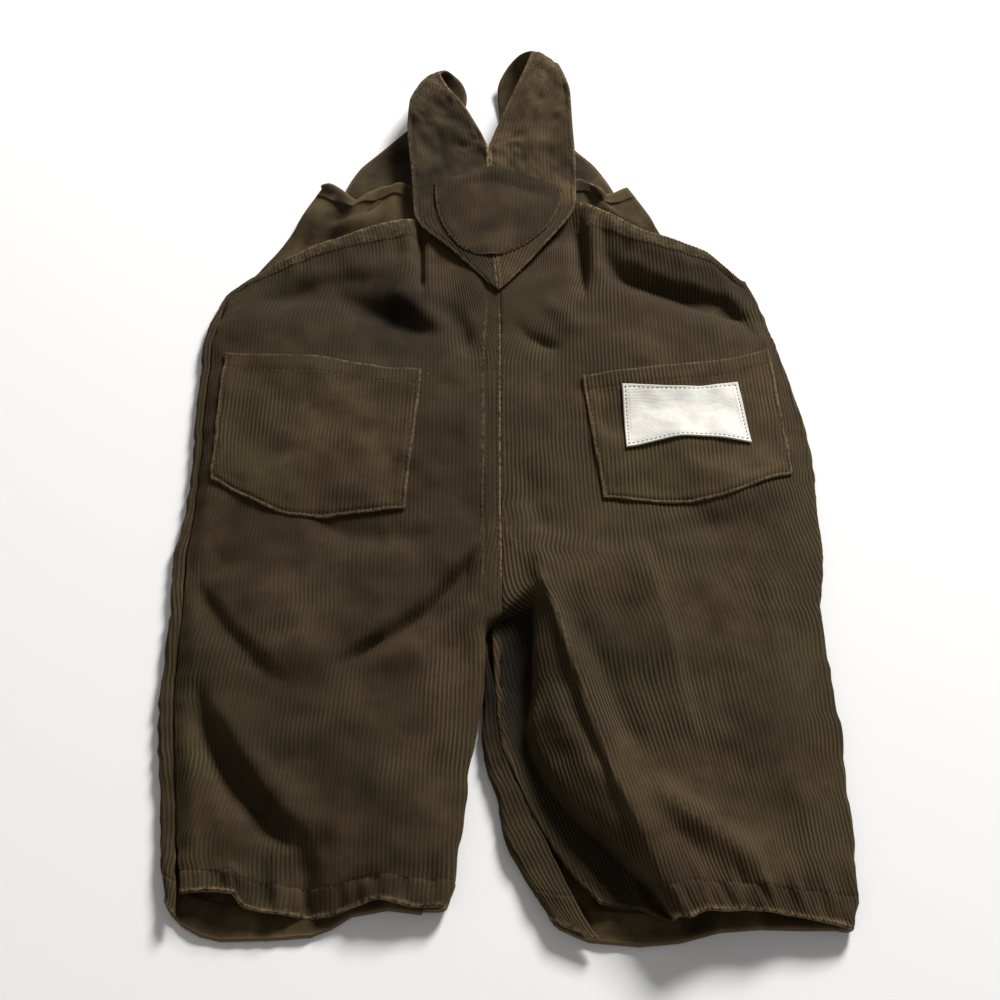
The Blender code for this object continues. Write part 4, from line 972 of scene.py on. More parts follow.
# both back panels are sewn alike
backs = dict(
    hemDepth=13.0,
    bandDepth=11.5,      # turned in at the armhole
    pucker=0.95,
    rowSpacing=2.9,
)


def paintedCrestHighlight(cut, amount):
    # painted highlight along the sharpest folds, laid into the wear mark
    x, y = cut["point"][:, :, 0], cut["point"][:, :, 1]
    lines = [(line, 1.0, 1.6, 1.2) for line in crestHighlightLines]
    return amount * np.clip(creaseHeight(x, y, lines), 0, 1) * (0.65 + 0.35 * softNoise(x, y, 9, 151))


def hemAndBand(cut, bandOn, crush, seed):
    # what the sewing does to a back panel: thickness out, thickness in, lift of the ply, wear
    low, high = cut["low"], cut["high"]
    band = bandOn * (1 - ramp(high, backs["bandDepth"] - 0.6, backs["bandDepth"] + 0.8))
    hem = 1 - ramp(low, backs["hemDepth"] - 0.2, backs["hemDepth"] + 1.6)
    outward = halfPly + ribs(cut["u"]) * (1 - 0.75 * crush)
    outward = outward + 0.75 * band + 0.15 * hem
    outward = outward + groove(low - backs["hemDepth"], 0.8, 0.3)
    outward = outward + bandOn * groove(high - backs["bandDepth"] + 1.2, 0.8, 0.55)
    inward = halfPly + 1.1 * hem + 0.9 * band
    # puckers beside the hem's stitching, then the waves of its free edge
    lift = 1.6 * backs["pucker"] * onCloth(cut, 5.5, seed + 1, along=0) * bell(low - backs["hemDepth"], 9)
    loose = (1 - ramp(low, 11, 13.5)) * ramp(low, 0.2, 5)
    lift = lift + 1.15 * onCloth(cut, 4.2, seed + 5, along=0.12) * loose
    lift = lift + 1.5 * onCloth(cut, 13, seed + 4, along=0) * bell(low, 16)
    besideBand = bell(high - backs["bandDepth"], 8)
    lift = lift + bandOn * backs["pucker"] * onCloth(cut, 6.5, seed + 2, along=0) * besideBand
    wear = 0.7 * (1 - ramp(low, 0.6, 2.6)) + 0.65 * bandOn * (1 - ramp(high, 0.5, 2.6))
    wear = wear + 0.18 * band * (onCloth(cut, 5, seed + 3) > 0.1)
    return outward, inward, lift, wear


def cutBack(panel, along, knots, xs, low, high, stretch):
    # one wale is held to a line of given x, and the others are counted off from it
    tight = (backs["hemDepth"], -backs["bandDepth"])
    rowAt, v = rowsByLength(panel, along, backs["rowSpacing"], tight)
    grid, across = denseSurface(panel, rowAt)
    anchor = anchorAtX(grid, across, rowAt, knots, xs, low, high)
    return rowAt, cutByWales(grid, across, v, anchor, smoothCurve(*stretch, rowAt))


def stitchBack(cut, surface, bandSide, bandFrom, seams, fromRight, vFrom, vTo):
    stitchLines.append(lineAcross(cut, surface, backs["hemDepth"]))
    band = lineAcross(cut, surface, cut["v"][-1] - backs["bandDepth"] + 1.2)
    stitchLines.append([p for p in band if bandSide * p[0] > bandFrom])
    for away in seams:
        stitchLines.append(lineAlong(cut, surface, away, fromRight, vFrom, vTo))


# back, left
panelLeft = dict(
    sections=backLeftSections(bodyRows),
    rows=bodyRows,
    places=[0, 0.08, 0.36, 0.64] + list(np.linspace(0.90, 1.0, 11)),
    calm=lambda place, row: np.clip(place / 0.07, 0, 1) * np.clip((0.93 - place) / 0.10, 0, 1),
    creases=backCreases,
    edges=(backLeftHem, ()),
    drift=((46, 2.6, 3), (23, 1.9, 4), (11, 0.8, 14), (5.5, 0.14, 15)),
)
rowAt, cut = cutBack(panelLeft, 0.5, [0, 3, 5, 7, 9, 11, 12, 13], [-46, -44, -42, -40, -40, -40, -41, -43],
                     0.0, 0.9, ([0, 13], [0, 0]))
row = rowAt[:, None]
bandOn = ramp(cut["place"], 0.0, 0.03) * (1 - ramp(cut["place"], 0.60, 0.66)) * ramp(row, 12.0, 12.3)
crush = crushOf(cut, 0.70, ((-22, -130, 22, 70, -0.5), (-30, -50, 20, 30, -0.25), (-22, 110, 20, 50, -0.35),
                            (-135, 50, 14, 60, -0.25)), 121)
outward, inward, lift, wear = hemAndBand(cut, bandOn, crush, 11)
# side seam: gathered a little, crosswise puckers beside the groove
lift += 0.45 * onCloth(cut, 7, 21, across=0) * np.exp(-cut["left"] / 9) * ramp(cut["left"], 0, 3)
# felled seam down the centre back
seat = ramp(row, 7.4, 7.8) * (1 - ramp(row, 12.2, 12.6))
fell = seat * (1 - ramp(cut["right"], 9.3, 10.2))
fellStitches = (2.0, 8.2)
outward += (0.7 + 0.5 * np.exp(-cut["right"] / 1.5)) * fell
outward += seat * sum(groove(cut["right"] - away, 0.6, 0.35) for away in fellStitches)
wear += 0.35 * seat * bell(cut["right"] - 9.6, 0.8) + 0.75 * seat * bell(cut["right"], 0.9)
cut["point"] = cut["point"] + cut["normal"] * lift[..., None]
waver(cut, 101)
# the patches give pile tone and painted shade in the folds and under the armhole band
marks = dict(wear=wear, nap=gaussianPatches(cut, napAndShadePatches) - 0.10, crush=crush)
backLeftPiece, surface = sewnPiece("backLeftCloth", "back_left", cut, outward, inward, marks,
                                   [cordCloth, clothBack])
fellFrom, fellTo = np.interp([7.6, 12.3], rowAt, cut["v"])
stitchBack(cut, surface, -1, 46, fellStitches, True, fellFrom, fellTo)

# back, right
panelRight = dict(
    sections=backRightSections(bodyRows),
    rows=bodyRows,
    places=[0, 0.10, 0.15, 0.26, 0.54, 0.88] + list(np.linspace(0.92, 1.0, 11)),
    calm=lambda place, row: np.clip(place / 0.10, 0, 1) * np.clip((0.94 - place) / 0.08, 0, 1),
    creases=backCreases,
    edges=(backRightHem, ()),
    drift=((46, 2.4, 5), (23, 1.7, 6), (11, 0.55, 26), (5.5, 0.13, 17)),
)
rowAt, cut = cutBack(panelRight, 0.54, [0, 3, 5, 7, 9, 11, 13], [114, 98, 88, 80, 73, 71, 71], 0.30, 0.88,
                     ([0, 3, 5, 7, 9, 13], [0.17, 0.06, -0.06, -0.10, -0.02, 0.0]))
row = rowAt[:, None]
bandOn = ramp(cut["place"], 0.24, 0.28) * (1 - ramp(cut["place"], 0.90, 0.93)) * ramp(row, 12.0, 12.3)
crush = crushOf(cut, 0.16, ((102, -70, 18, 44, 0.5), (124, -150, 20, 60, 0.3), (60, -98, 12, 30, 0.4),
                            (100, 122, 34, 12, 0.4)), 131)
outward, inward, lift, wear = hemAndBand(cut, bandOn, crush, 31)
# inside-leg seam, felled like the centre back
legs = 1 - ramp(row, 5.6, 6.6)
legStitches = (2.0, 7.5)
outward += legs * sum(groove(cut["left"] - away, 0.6, 0.35) for away in legStitches)
outward += 0.5 * legs * (1 - ramp(cut["left"], 8.4, 9.4))
lift += 0.5 * onCloth(cut, 6, 41, across=0) * np.exp(-cut["left"] / 9) * ramp(cut["left"], 0, 3)
# painted highlight along the fold crests, added to the wear
wear = wear + paintedCrestHighlight(cut, 0.2)
cut["point"] = cut["point"] + cut["normal"] * lift[..., None]
waver(cut, 111)
# painted shade: the pit between the inseam and the rolled fold, where hardly any light falls, is darkened
# through the nap mark and kept from looking worn, and the rolled wall beside it a little too
onLeg = 1 - ramp(row, 6.0, 6.5)
hollowShade = ramp(cut["left"], 1.5, 6.0) * (1 - ramp(cut["place"], 0.088, 0.118)) * onLeg
deep = 0.62 + 0.38 * bell(cut["point"][:, :, 1] + 98, 42)
wall = ramp(cut["place"], 0.10, 0.12) * (1 - ramp(cut["place"], 0.24, 0.27)) * onLeg
nap = (gaussianPatches(cut, napAndShadePatches) - 0.02 * wall) * (1 - hollowShade) - deep * hollowShade
marks = dict(wear=wear * (1 - 0.85 * hollowShade), nap=nap, crush=crush)
backRightPiece, surface = sewnPiece("backRightCloth", "back_right", cut, outward, inward, marks,
                                    [cordCloth, clothBack])
stitchBack(cut, surface, 1, 44, legStitches, False, 2.0, np.interp(3.4, rowAt, cut["v"]))

# fronts, leg to bib in one piece each
frontPieces = dict(hemDepth=15.0, bibHem=9.0, rowSpacing=4.2)
# soft creases of the bib beside the straps: points along each, height, reach to its left and right
bibCreases = (
    (((-106, 219), (-94, 213), (-82, 204)), 2.6, 4.0, 3.0),
    (((-72, 220), (-84, 196), (-100, 178)), 2.6, 4.0, 5.0),
    (((-60, 214), (-78, 200), (-108, 190)), -2.0, 4.0, 4.0),
    (((-52, 226), (-62, 204), (-66, 186)), 2.2, 4.0, 4.0),
    (((49, 226), (56, 216), (60, 208)), 2.8, 3.0, 3.5),
    (((56, 206), (70, 190), (94, 180)), 2.6, 4.0, 4.0),
    (((46, 212), (56, 196), (70, 182)), -1.8, 4.0, 4.0),
)
fronts = {}
for side, name, node, edges in ((-1, "frontLeftCloth", "front_left", (frontLeftHem, bibLeftTop)),
                                (1, "frontRightCloth", "front_right", (frontRightHem, bibRightTop))):
    panel = dict(
        sections=frontSections(bodyRows, side),
        rows=bodyRows + [14, 15, 16, 17, 18],
        places=list(np.linspace(0, 1, 17)),
        calm=lambda place, row: ramp(row, 13.5, 14.5) * ramp(place, 0.0, 0.05) * (1 - ramp(place, 0.95, 1.0)),
        creases=bibCreases,
        edges=edges,
        drift=((30, 0.7, 7), (14, 0.45, 8)),
    )
    tight = (frontPieces["hemDepth"], -frontPieces["bibHem"])
    rowAt, v = rowsByLength(panel, 0.25, frontPieces["rowSpacing"], tight)
    grid, across = denseSurface(panel, rowAt)
    grid[:, :, 2] = np.maximum(grid[:, :, 2], flatZ + 0.02)
    cut = cutByWales(grid, across, v, 0.3 if side < 0 else 0.9)
    low, high, row = cut["low"], cut["high"], rowAt[:, None]
    hem = 1 - ramp(low, frontPieces["hemDepth"] - 0.2, frontPieces["hemDepth"] + 1.6)
    bibHem = 1 - ramp(high, frontPieces["bibHem"] - 0.3, frontPieces["bibHem"] + 0.6)
    outward = halfPly + ribs(cut["u"]) + groove(low - frontPieces["hemDepth"], 0.8, 0.4)
    # the side that turns up off the floor is puckered, and what lies on the floor is flat
    z = cut["point"][:, :, 2]
    puckered = ramp(z, 1.2, 3.0) * (1 - ramp(row, 12.0, 13.0))
    outward = outward + 0.7 * puckered * onCloth(cut, 5, 161 + side, across=0.15)
    outward = np.where(z < 1.0, np.minimum(outward, halfPly), outward)
    streaks = onCloth(cut, 4.5, 171 + side, along=0.1)
    inward = halfPly + 1.1 * hem + 1.0 * bibHem + 0.45 * hem * streaks
    # painted shade: the front's cloth darkened under the crotch and the right leg
    nap = gaussianPatches(cut, pitShadePatches) * ramp(row, 0.0, 1.0) * (1 - ramp(row, 7.0, 8.0))
    # painted shade and highlight on the turned hem: lighter where its puckers stand up, darker between them
    nap = nap + 0.3 * hem * streaks + 0.25 * onCloth(cut, 13, 173) * ramp(row, 13, 14)
    wear = 0.6 * (1 - ramp(low, 0.6, 2.4)) + 0.6 * (1 - ramp(high, 0.6, 2.4))
    fronts[side], surface = sewnPiece(name, node, cut, outward, inward, dict(wear=wear, nap=nap, crush=0.3),
                                      [cordCloth, clothBack])


# patch pockets
pockets = dict(topHem=11.0, edgeStitch=2.2, slack=0.6, rowSpacing=2.4, ply=0.55)
pocketLift = halfPly + garment["seamGap"] + pockets["ply"]
pocketGrids = {}
pocketPieces = {}


def layerOn(panel, rowAt, placeFrom, placeTo, count=420):
    # the panel's own surface between two places, moved out to where a pocket lies
    grid, across = denseSurface(panel, rowAt)
    out = grid + surfaceNormals(grid) * pocketLift
    wanted = np.linspace(placeFrom, placeTo, count)
    picked = [[np.interp(wanted, across, row[:, k]) for k in range(3)] for row in out]
    return np.stack(picked).transpose(0, 2, 1), wanted


def pocketRows(panel, placeFrom, placeTo):
    rowAt = np.linspace(9, 11, 80)
    grid, across = layerOn(panel, rowAt, placeFrom, placeTo, 60)
    length = lengthDown(grid[:, 30])
    whole = length[-1]
    stitch = pockets["edgeStitch"]
    wanted = list(np.linspace(0, whole, int(whole / pockets["rowSpacing"]) + 1))
    for spot in (0.25, 0.6, 1.1, 1.8, stitch - 0.5, stitch, stitch + 0.5, 10.4, 11.0, 11.6):
        wanted += [spot, whole - spot]
    wanted = np.unique(np.round(wanted, 2))
    keep = [wanted[0]] + [b for a, b in zip(wanted[:-1], wanted[1:]) if b - a > 0.2]
    return np.interp(keep, length, rowAt)


# side, piece, node, back panel, place from, place to, crush, nap, seed
for side, name, node, panel, placeFrom, placeTo, flattened, lean, seed in (
        (-1, "pocketLeftCloth", "pocket_left", panelLeft, 0.08, 0.64, 0.6, 0.0, 51),
        (1, "pocketRightCloth", "pocket_right", panelRight, 0.26, 0.88, 0.35, 0.22, 61)):
    rowAt = pocketRows(panel, placeFrom, placeTo)
    grid, across = layerOn(panel, rowAt, placeFrom, placeTo)
    v = lengthDown(grid[:, grid.shape[1] // 2])
    belly = np.sin(math.pi * (across - placeFrom) / (placeTo - placeFrom))[None, :]
    grid[:, :, 2] += 0.8 * softNoise(grid[:, :, 0], grid[:, :, 1], 13, seed + 7) * belly
    grid[:, :, 2] += pockets["slack"] * (1 - ((v[-1] - v) / v[-1])[:, None] ** 0.6) * belly ** 1.5
    grid[:, :, 2] += 0.35 * softNoise(grid[:, :, 0], grid[:, :, 1], 17, seed) * belly
    pocketGrids[side] = grid
    cut = cutByWales(grid, across, v, (placeFrom + placeTo) / 2, lead=0.02 * (v - v.mean()))
    high, edge = cut["high"], np.minimum(cut["edge"], cut["low"])
    turnedIn = 1 - ramp(edge, 5.5, 6.8)
    topHem = 1 - ramp(high, pockets["topHem"] - 0.2, pockets["topHem"] + 1.2)
    crush = crushOf(cut, flattened, (), seed + 5)
    outward = pockets["ply"] + ribs(cut["u"], 0.9) * (1 - 0.75 * crush) + 0.25 * np.maximum(turnedIn, topHem)
    outward = outward + groove(edge - pockets["edgeStitch"], 0.6, 0.4)
    outward = outward + groove(high - pockets["topHem"] + 0.8, 0.7, 0.4)
    outward = outward + 0.35 * onCloth(cut, 4.5, seed + 1) * np.exp(-edge / 5) * ramp(edge, 0.2, 1.5)
    wear = 0.7 * (1 - ramp(edge, 0.4, 2.0)) + 0.55 * (1 - ramp(high, 0.4, 2.2))
    wear = wear * (0.6 + 0.4 * onCloth(cut, 8, seed + 2))
    # the patches give pile tone and painted shade from the folds beneath the pocket
    marks = dict(wear=wear, nap=gaussianPatches(cut, napAndShadePatches) + lean, crush=crush)
    pocketPieces[side], surface = sewnPiece(name, node, cut, outward, pockets["ply"] + 0 * edge, marks,
                                            [pocketCord, clothBack])
    for fromRight in (False, True):
        stitchLines.append(lineAlong(cut, surface, pockets["edgeStitch"], fromRight, pockets["edgeStitch"]))
    for at in (pockets["edgeStitch"], v[-1] - pockets["topHem"] + 0.8):
        stitchLines.append(lineAcross(cut, surface, at, 2.2))


# woven label on the right pocket
tag = dict(
    ply=0.5, lift=0.35, rows=34, edgeStitch=1.6,
    top=((64.4, 64.2), (95.6, 62.1), (125.8, 66.2)),
    bottom=((65.2, 23.3), (96.8, 29.8), (130.0, 25.3)),
)


def settle(places, below, lift):
    # lays a grid of places down on the cloth below
    below = below[::2, ::8]
    rows, columns = below.shape[:2]
    quads = [(r * columns + c, r * columns + c + 1, (r + 1) * columns + c + 1, (r + 1) * columns + c)
             for r in range(rows - 1) for c in range(columns - 1)]
    tree = BVHTree.FromPolygons([tuple(p) for p in below.reshape(-1, 3)], quads)
    drop = lambda x, y: tree.ray_cast(Vector((x, y, 60)), Vector((0, 0, -1)))[0].z + lift
    return np.array([[(x, y, drop(x, y)) for x, y in row] for row in places])


closeRows = [0.008, 0.02, 0.045, 0.955, 0.98, 0.992]
down = np.sort(np.concatenate([np.linspace(0, 1, tag["rows"]), closeRows]))[:, None]
share = np.linspace(0, 1, 120)
top, bottom = (smoothCurve([0, 0.5, 1], np.array(tag[key]), share) for key in ("top", "bottom"))
flat = bottom[None] + (top - bottom)[None] * down[..., None]
grid = settle(flat, pocketGrids[1], pockets["ply"] + garment["seamGap"] + tag["lift"] + tag["ply"])
belly = np.sin(math.pi * share[None, :]) * np.sin(math.pi * down)
grid[:, :, 2] += 0.4 * softNoise(grid[:, :, 0], grid[:, :, 1], 11, 71) * belly
v = lengthDown(grid[:, 60])
cut = cutByWales(grid, share, v, 0.5)
edge = np.minimum(cut["edge"], np.minimum(cut["low"], cut["high"]))
outward = tag["ply"] + groove(edge - tag["edgeStitch"], 0.5, 0.18) + 0.06 * onCloth(cut, 3, 72)
wear = 0.55 * (1 - ramp(edge, 0.2, 1.0)) + 0.4 * bell(edge - 3.4, 0.28)
labelPiece, surface = sewnPiece("labelCloth", "label", cut, outward, tag["ply"] + 0 * edge, dict(wear=wear),
                                [labelWoven, labelWoven], threadStands=0.04)
inset = tag["edgeStitch"]
labelLines = [lineAlong(cut, surface, inset, fromRight, inset, v[-1] - inset) for fromRight in (False, True)]
labelLines += [lineAcross(cut, surface, at, inset) for at in (inset, v[-1] - inset)]


# straps, and the patch that joins them
straps = dict(crown=0.55, edgeStitch=3.0, rowSpacing=1.9)
strapPieces = {}
for side, name, node, stations in ((-1, "strapLeftCloth", "strap_left", strapLeftStations),
                                   (1, "strapRightCloth", "strap_right", strapRightStations)):
    edges = sampleTable(stations, range(len(stations))).reshape(-1, 2, 3)[:, ::side]
    panel = dict(sections=edges, rows=list(range(len(stations))), places=[0, 1])
    rowAt, v = rowsByLength(panel, 0.5, straps["rowSpacing"])
    grid, across = denseSurface(panel, rowAt, 300)
    cut = cutByWales(grid, across, v, 0.5)
    edge, row = cut["edge"], rowAt[:, None]
    # crowned and crumpled where it shows, plain where it runs back underneath
    crown = straps["crown"] * np.sin(math.pi * np.clip(cut["left"] / (cut["left"] + cut["right"]), 0, 1))
    crown = crown * ramp(row, 2.8, 4.2) * (1 - ramp(row, 8.0, 10.0))
    across = cut["u"] + 40 * side
    soft = 1.3 * softNoise(across, cut["low"], 14, 81) + 0.9 * softNoise(across, cut["low"], 7, 83)
    soft = soft + 0.42 * softNoise(across, 0.7 * cut["low"], 3.6, 87)
    soft = soft * ramp(edge, 0, 4) * ramp(row, 1.5, 3.0) * (1 - ramp(row, 8.5, 9.5))
    cut["point"] = cut["point"] + cut["normal"] * (crown + soft)[..., None]
    crush = np.clip(crushOf(cut, 0.9, (), 141 + side) - 0.42 * (1 - ramp(row, 1.6, 3.0)), 0, 1)
    outward = halfPly + ribs(cut["u"], 0.9) * (1 - 0.75 * crush)
    outward = outward + groove(edge - straps["edgeStitch"], 0.7, 0.35)
    outward = np.minimum(outward, halfPly + 0.2 * (1 - ramp(row, 9.0, 10.0)))
    wear = 0.55 * (1 - ramp(edge, 0.5, 2.2)) * (0.6 + 0.5 * onCloth(cut, 9, 82)) + 0.2 * bell(row - 6.5, 1.6)
    inner = cut["right"] if side < 0 else cut["left"]
    wear = wear + 0.8 * bell(row - 2.75, 0.35) * (1 - ramp(inner, 1.0, 2.4))
    nap = 0.24 * side - 0.27 + 0.3 * onCloth(cut, 12, 84) + 0.16 * onCloth(cut, 5, 88)
    marks = dict(wear=wear, nap=nap, crush=crush)
    strapPieces[side], surface = sewnPiece(name, node, cut, outward, halfPly + 0 * edge, marks,
                                           [strapCord, clothBack])
    seamTo = np.interp(8.0, rowAt, v)
    for fromRight in (False, True):
        stitchLines.append(lineAlong(cut, surface, straps["edgeStitch"], fromRight, 8.0, seamTo))

yoke = dict(
    ply=0.55, edgeStitch=2.4, rowSpacing=2.0,
    # across the patch: share of its width, how far its top row bows up, how far it droops
    profile=((0, -8.0, 0.6), (0.25, -1.0, 0.15), (0.45, 4.0, 0.0), (0.75, -3.0, 0.15), (1, -12.0, 0.6)),
)
patchRows = sampleTable(yokePatchRows, range(len(yokePatchRows)))
sections = []
for k, (y, xLeft, xRight, z) in enumerate(patchRows):
    topRow = (k / (len(patchRows) - 1)) ** 3
    sections.append([(xLeft + (xRight - xLeft) * s, y + bow * topRow, z - fall)
                     for s, bow, fall in yoke["profile"]])
panel = dict(
    sections=np.array(sections),
    rows=list(range(len(sections))),
    places=[s for s, bow, fall in yoke["profile"]],
    calm=lambda place, row: ramp(place, 0, 0.15) * (1 - ramp(place, 0.85, 1.0)),
    creases=((((-30, 208), (-8, 214), (12, 208), (30, 200)), -1.0, 3.5, 5.0),),
    drift=((15, 0.6, 9), (8, 0.35, 10)),
)
rowAt, v = rowsByLength(panel, 0.5, yoke["rowSpacing"])
grid, across = denseSurface(panel, rowAt, 300)
cut = cutByWales(grid, across, v, 0.5)
edge, high = np.minimum(cut["edge"], cut["low"]), cut["high"]
outward = yoke["ply"] * (0.3 + 0.7 * ramp(np.minimum(edge, high), 0, 6.0))
outward = outward + ribs(cut["u"], 0.25 + 0.45 * bell(high - 7, 5))
marks = dict(
    wear=0.22 * (1 - ramp(edge, 0.4, 1.8)),
    nap=-0.44 + 0.3 * onCloth(cut, 11, 85),
    crush=0.78 - 0.4 * bell(high - 7, 6),
)
yokePiece, surface = sewnPiece("yokePatchCloth", "yoke_patch", cut, outward, yoke["ply"] + 0 * edge, marks,
                               [strapCord, clothBack])
for fromRight in (False, True):
    stitchLines.append(lineAlong(cut, surface, yoke["edgeStitch"], fromRight, 1.0))


# buttons
buttons = dict(
    radius=8.0, height=2.2, sides=64, holeRadius=0.95, holeSpread=1.9, holeSides=20,
    places=(("buttonLeftDisc", "button_left", -74.0, 206.5),
            ("buttonRightDisc", "button_right", 51.5, 208.5)),
    # up the rim: share of the radius, height
    outline=((0.55, 0.9), (0.68, 0.75), (0.80, 0.15), (0.86, 0.0), (0.94, 0.15), (1, 0.8), (1, 1.3),
             (0.97, 1.8)),
)


def turned(name, profile, x, y, sides):
    points, faces = [], []
    for r, z in profile:
        for k in range(sides):
            a = 2 * math.pi * k / sides
            points.append((x + r * math.cos(a), y + r * math.sin(a), z))
    rings = len(profile)
    for ring in range(rings - 1):
        for k in range(sides):
            n = (k + 1) % sides
            faces.append((ring * sides + k, ring * sides + n, (ring + 1) * sides + n, (ring + 1) * sides + k))
    faces.append(tuple(range(sides))[::-1])
    faces.append(tuple((rings - 1) * sides + k for k in range(sides)))
    mesh = bpy.data.meshes.new(name)
    mesh.from_pydata(place(points).tolist(), [], faces)
    mesh.update()
    return addObject(name, mesh)


def settled(shape):
    # the mesh with its modifiers worked out
    return bpy.data.meshes.new_from_object(shape.evaluated_get(bpy.context.evaluated_depsgraph_get()))


for name, node, x, y in buttons["places"]:
    big = buttons["radius"]
    outline = [(big * share, z) for share, z in buttons["outline"]] + [(big * 0.9, buttons["height"])]
    disc = turned(name, outline, x, y, buttons["sides"])
    reach = buttons["holeSpread"] / math.sqrt(2)
    bore = [(buttons["holeRadius"], z) for z in (-1.0, 4.0)]
    for dx, dy in ((1, 1), (1, -1), (-1, 1), (-1, -1)):
        drill = turned("drill", bore, x + dx * reach, y + dy * reach, buttons["holeSides"])
        hole = disc.modifiers.new("hole", "BOOLEAN")
        hole.object = drill
        hole.solver = "EXACT"
        drilled = settled(disc)
        disc.modifiers.clear()
        disc.data = drilled
        bpy.data.objects.remove(drill, do_unlink=True)
    disc.data.name = name
    disc.data.materials.clear()
    disc.data.materials.append(buttonMoulded)
    disc.data.shade_smooth()
    disc.data.set_sharp_from_angle(angle=math.radians(40))
    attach(disc, "root")
    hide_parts(node)
print("buttons ready")


# stitching, one tree for every line of thread
thread = dict(stitch=2.5, gap=0.75, width=0.45, labelStitch=1.6, seed=4)


def stitchTree():
    # a small capsule of thread on every step of the lines, turned along them
    tree = bpy.data.node_groups.new("threadStitches", "GeometryNodeTree")
    tree.interface.new_socket("Geometry", in_out="INPUT", socket_type="NodeSocketGeometry")
    for label, value in (("Stitch length", 0.0025), ("Gap", 0.0008), ("Thread width", 0.0005)):
        tree.interface.new_socket(label, in_out="INPUT", socket_type="NodeSocketFloat").default_value = value
    tree.interface.new_socket("Seed", in_out="INPUT", socket_type="NodeSocketInt")
    tree.interface.new_socket("Thread", in_out="INPUT", socket_type="NodeSocketMaterial")
    tree.interface.new_socket("Geometry", in_out="OUTPUT", socket_type="NodeSocketGeometry")
    given = addNode(tree, "NodeGroupInput").outputs
    lines = addNode(tree, "GeometryNodeMeshToCurve", {0: given["Geometry"]})
    step = addNode(tree, "ShaderNodeMath", {"operation": "ADD", 0: given["Stitch length"], 1: given["Gap"]})
    even = addNode(tree, "GeometryNodeResampleCurve", {
        "mode": "LENGTH", 0: lines.outputs[0], "Length": step.outputs[0]})
    tangent = addNode(tree, "GeometryNodeInputTangent")
    kept = addNode(tree, "GeometryNodeCaptureAttribute", {"domain": "POINT", 0: even.outputs[0]})
    kept.capture_items.new("VECTOR", "Along")
    tree.links.new(tangent.outputs[0], kept.inputs[1])
    ball = addNode(tree, "GeometryNodeMeshUVSphere", {"Segments": 6, "Rings": 4, "Radius": 0.5})
    turn = addNode(tree, "FunctionNodeAlignRotationToVector", {"axis": "X", "Vector": kept.outputs[1]})
    uneven = addNode(tree, "FunctionNodeRandomValue", {
        "data_type": "FLOAT", 2: 0.88, 3: 1.08, "Seed": given["Seed"]})
    length = addNode(tree, "ShaderNodeMath", {
        "operation": "MULTIPLY", 0: given["Stitch length"], 1: uneven.outputs[1]})
    size = addNode(tree, "ShaderNodeCombineXYZ", {
        0: length.outputs[0], 1: given["Thread width"], 2: given["Thread width"]})
    laid = addNode(tree, "GeometryNodeInstanceOnPoints", {
        "Points": kept.outputs[0], "Instance": ball.outputs[0],
        "Rotation": turn.outputs[0], "Scale": size.outputs[0]})
    real = addNode(tree, "GeometryNodeRealizeInstances", {0: laid.outputs[0]})
    smooth = addNode(tree, "GeometryNodeSetShadeSmooth", {0: real.outputs[0]})
    dressed = addNode(tree, "GeometryNodeSetMaterial", {0: smooth.outputs[0], "Material": given["Thread"]})
    addNode(tree, "NodeGroupOutput", {0: dressed.outputs[0]})
    return tree


def sewLines(name, lines, stitchLength, tree):
    points, edges = [], []
    for line in lines:
        start = len(points)
        points += [tuple(p) for p in place(line)]
        edges += [(start + k, start + k + 1) for k in range(len(line) - 1)]
    mesh = bpy.data.meshes.new(name)
    mesh.from_pydata(points, edges, [])
    sewn = addObject(name, mesh)
    maker = sewn.modifiers.new("stitches", "NODES")
    maker.node_group = tree
    wanted = {
        "Stitch length": stitchLength * mm, "Gap": thread["gap"] * mm, "Thread width": thread["width"] * mm,
        "Seed": thread["seed"], "Thread": threadSpun}
    for socket in tree.interface.items_tree:
        if socket.item_type == "SOCKET" and socket.in_out == "INPUT" and socket.name in wanted:
            maker[socket.identifier] = wanted[socket.name]
    made = settled(sewn)
    sewn.modifiers.clear()
    sewn.data = made
    made.name = name
    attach(sewn, "root")
    print(name, len(made.polygons))


tree = stitchTree()
bodyLines = [line for line in stitchLines if len(line) > 2]
sewLines("bodyStitching", bodyLines, thread["stitch"], tree)
sewLines("labelStitching", labelLines, thread["labelStitch"], tree)


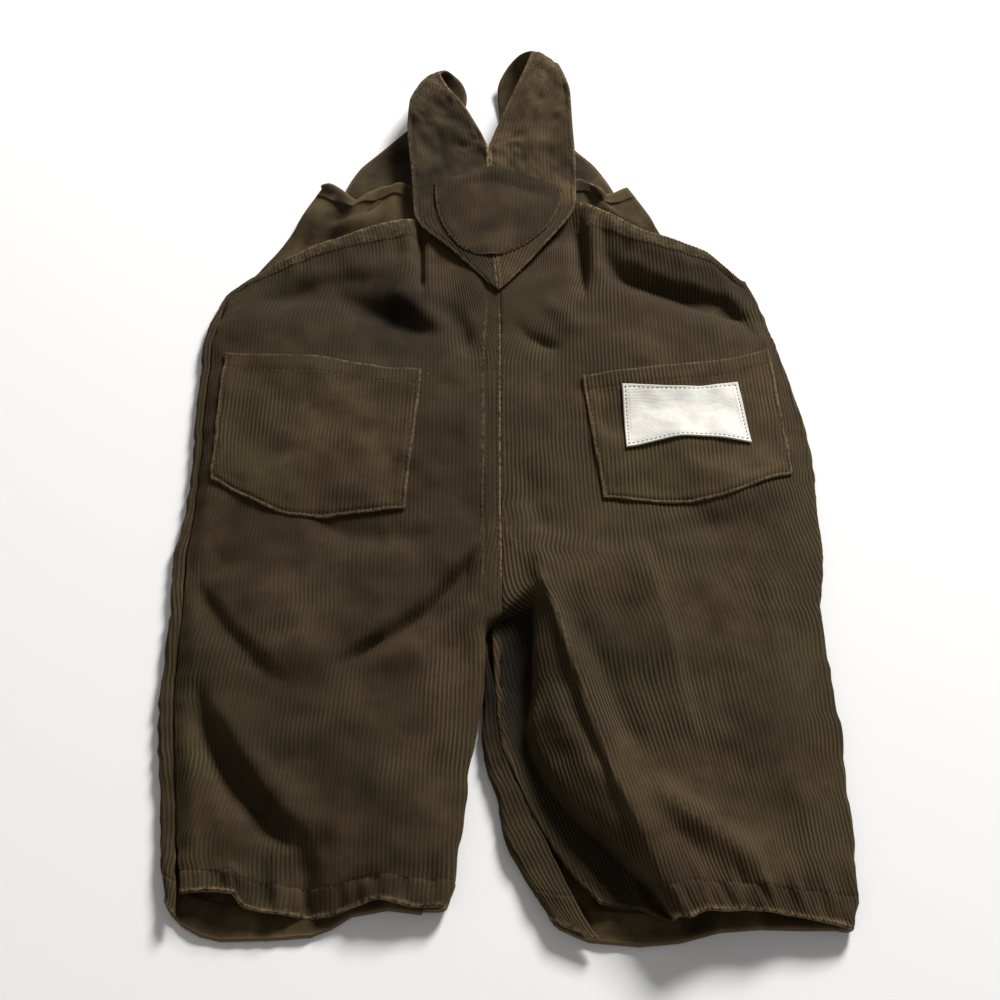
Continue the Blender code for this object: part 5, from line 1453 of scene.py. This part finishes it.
# floor, light and camera
studio = dict(
    floor="#fbfaf8", floorReach=3.0, floorDrop=0.0002,
    key=150.0, keySize=0.8, keyPlace=(1.28, 2.28, 1.47),
    fill=2.0, fillSize=1.6, fillPlace=(-0.9, -1.3, 1.3),
    lampAim=(0, 0.2, 0),
    sky=0.21,
    lens=66.8, elevation=55.0, distance=0.9558, aim=(0.0003, -0.0406, 0.0),
)
floorMesh = bpy.data.meshes.new("floor")
reach = studio["floorReach"]
floorCorners = [(x * reach, y * reach, -studio["floorDrop"]) for x, y in ((-1, -1), (1, -1), (1, 1), (-1, 1))]
floorMesh.from_pydata(floorCorners, [], [(0, 1, 2, 3)])
floor = addObject("floor", floorMesh)
floorPaint = startMaterial("paperSweepPale", {"Base Color": toLinear(studio["floor"]), "Roughness": 0.9})[0]
floorMesh.materials.append(floorPaint)


def softLight(name, power, size, spot):
    lamp = bpy.data.lights.new(name, "AREA")
    lamp.energy = power
    lamp.size = size
    made = addObject(name, lamp)
    away = [s - t for s, t in zip(spot, studio["lampAim"])]
    made.location = spot
    flat = math.hypot(away[0], away[1])
    made.rotation_euler = (math.atan2(flat, away[2]), 0, math.atan2(away[1], away[0]) + math.pi / 2)


softLight("keyLight", studio["key"], studio["keySize"], studio["keyPlace"])
softLight("fillLight", studio["fill"], studio["fillSize"], studio["fillPlace"])
world = bpy.data.worlds.new("studioSky")
world.use_nodes = True
world.node_tree.nodes["Background"].inputs[0].default_value = (1.0, 1.0, 1.0, 1.0)
world.node_tree.nodes["Background"].inputs[1].default_value = studio["sky"]
bpy.context.scene.world = world
bpy.context.scene.view_settings.view_transform = "Standard"

tilt = math.radians(studio["elevation"])
lensData = bpy.data.cameras.new("camera")
lensData.lens = studio["lens"]
lensData.sensor_width = 36.0
camera = addObject("camera", lensData)
aimX, aimY, aimZ = studio["aim"]
camera.location = (aimX, aimY - studio["distance"] * math.cos(tilt),
                   aimZ + studio["distance"] * math.sin(tilt))
camera.rotation_euler = (math.pi / 2 - tilt, 0, 0)
bpy.context.scene.camera = camera
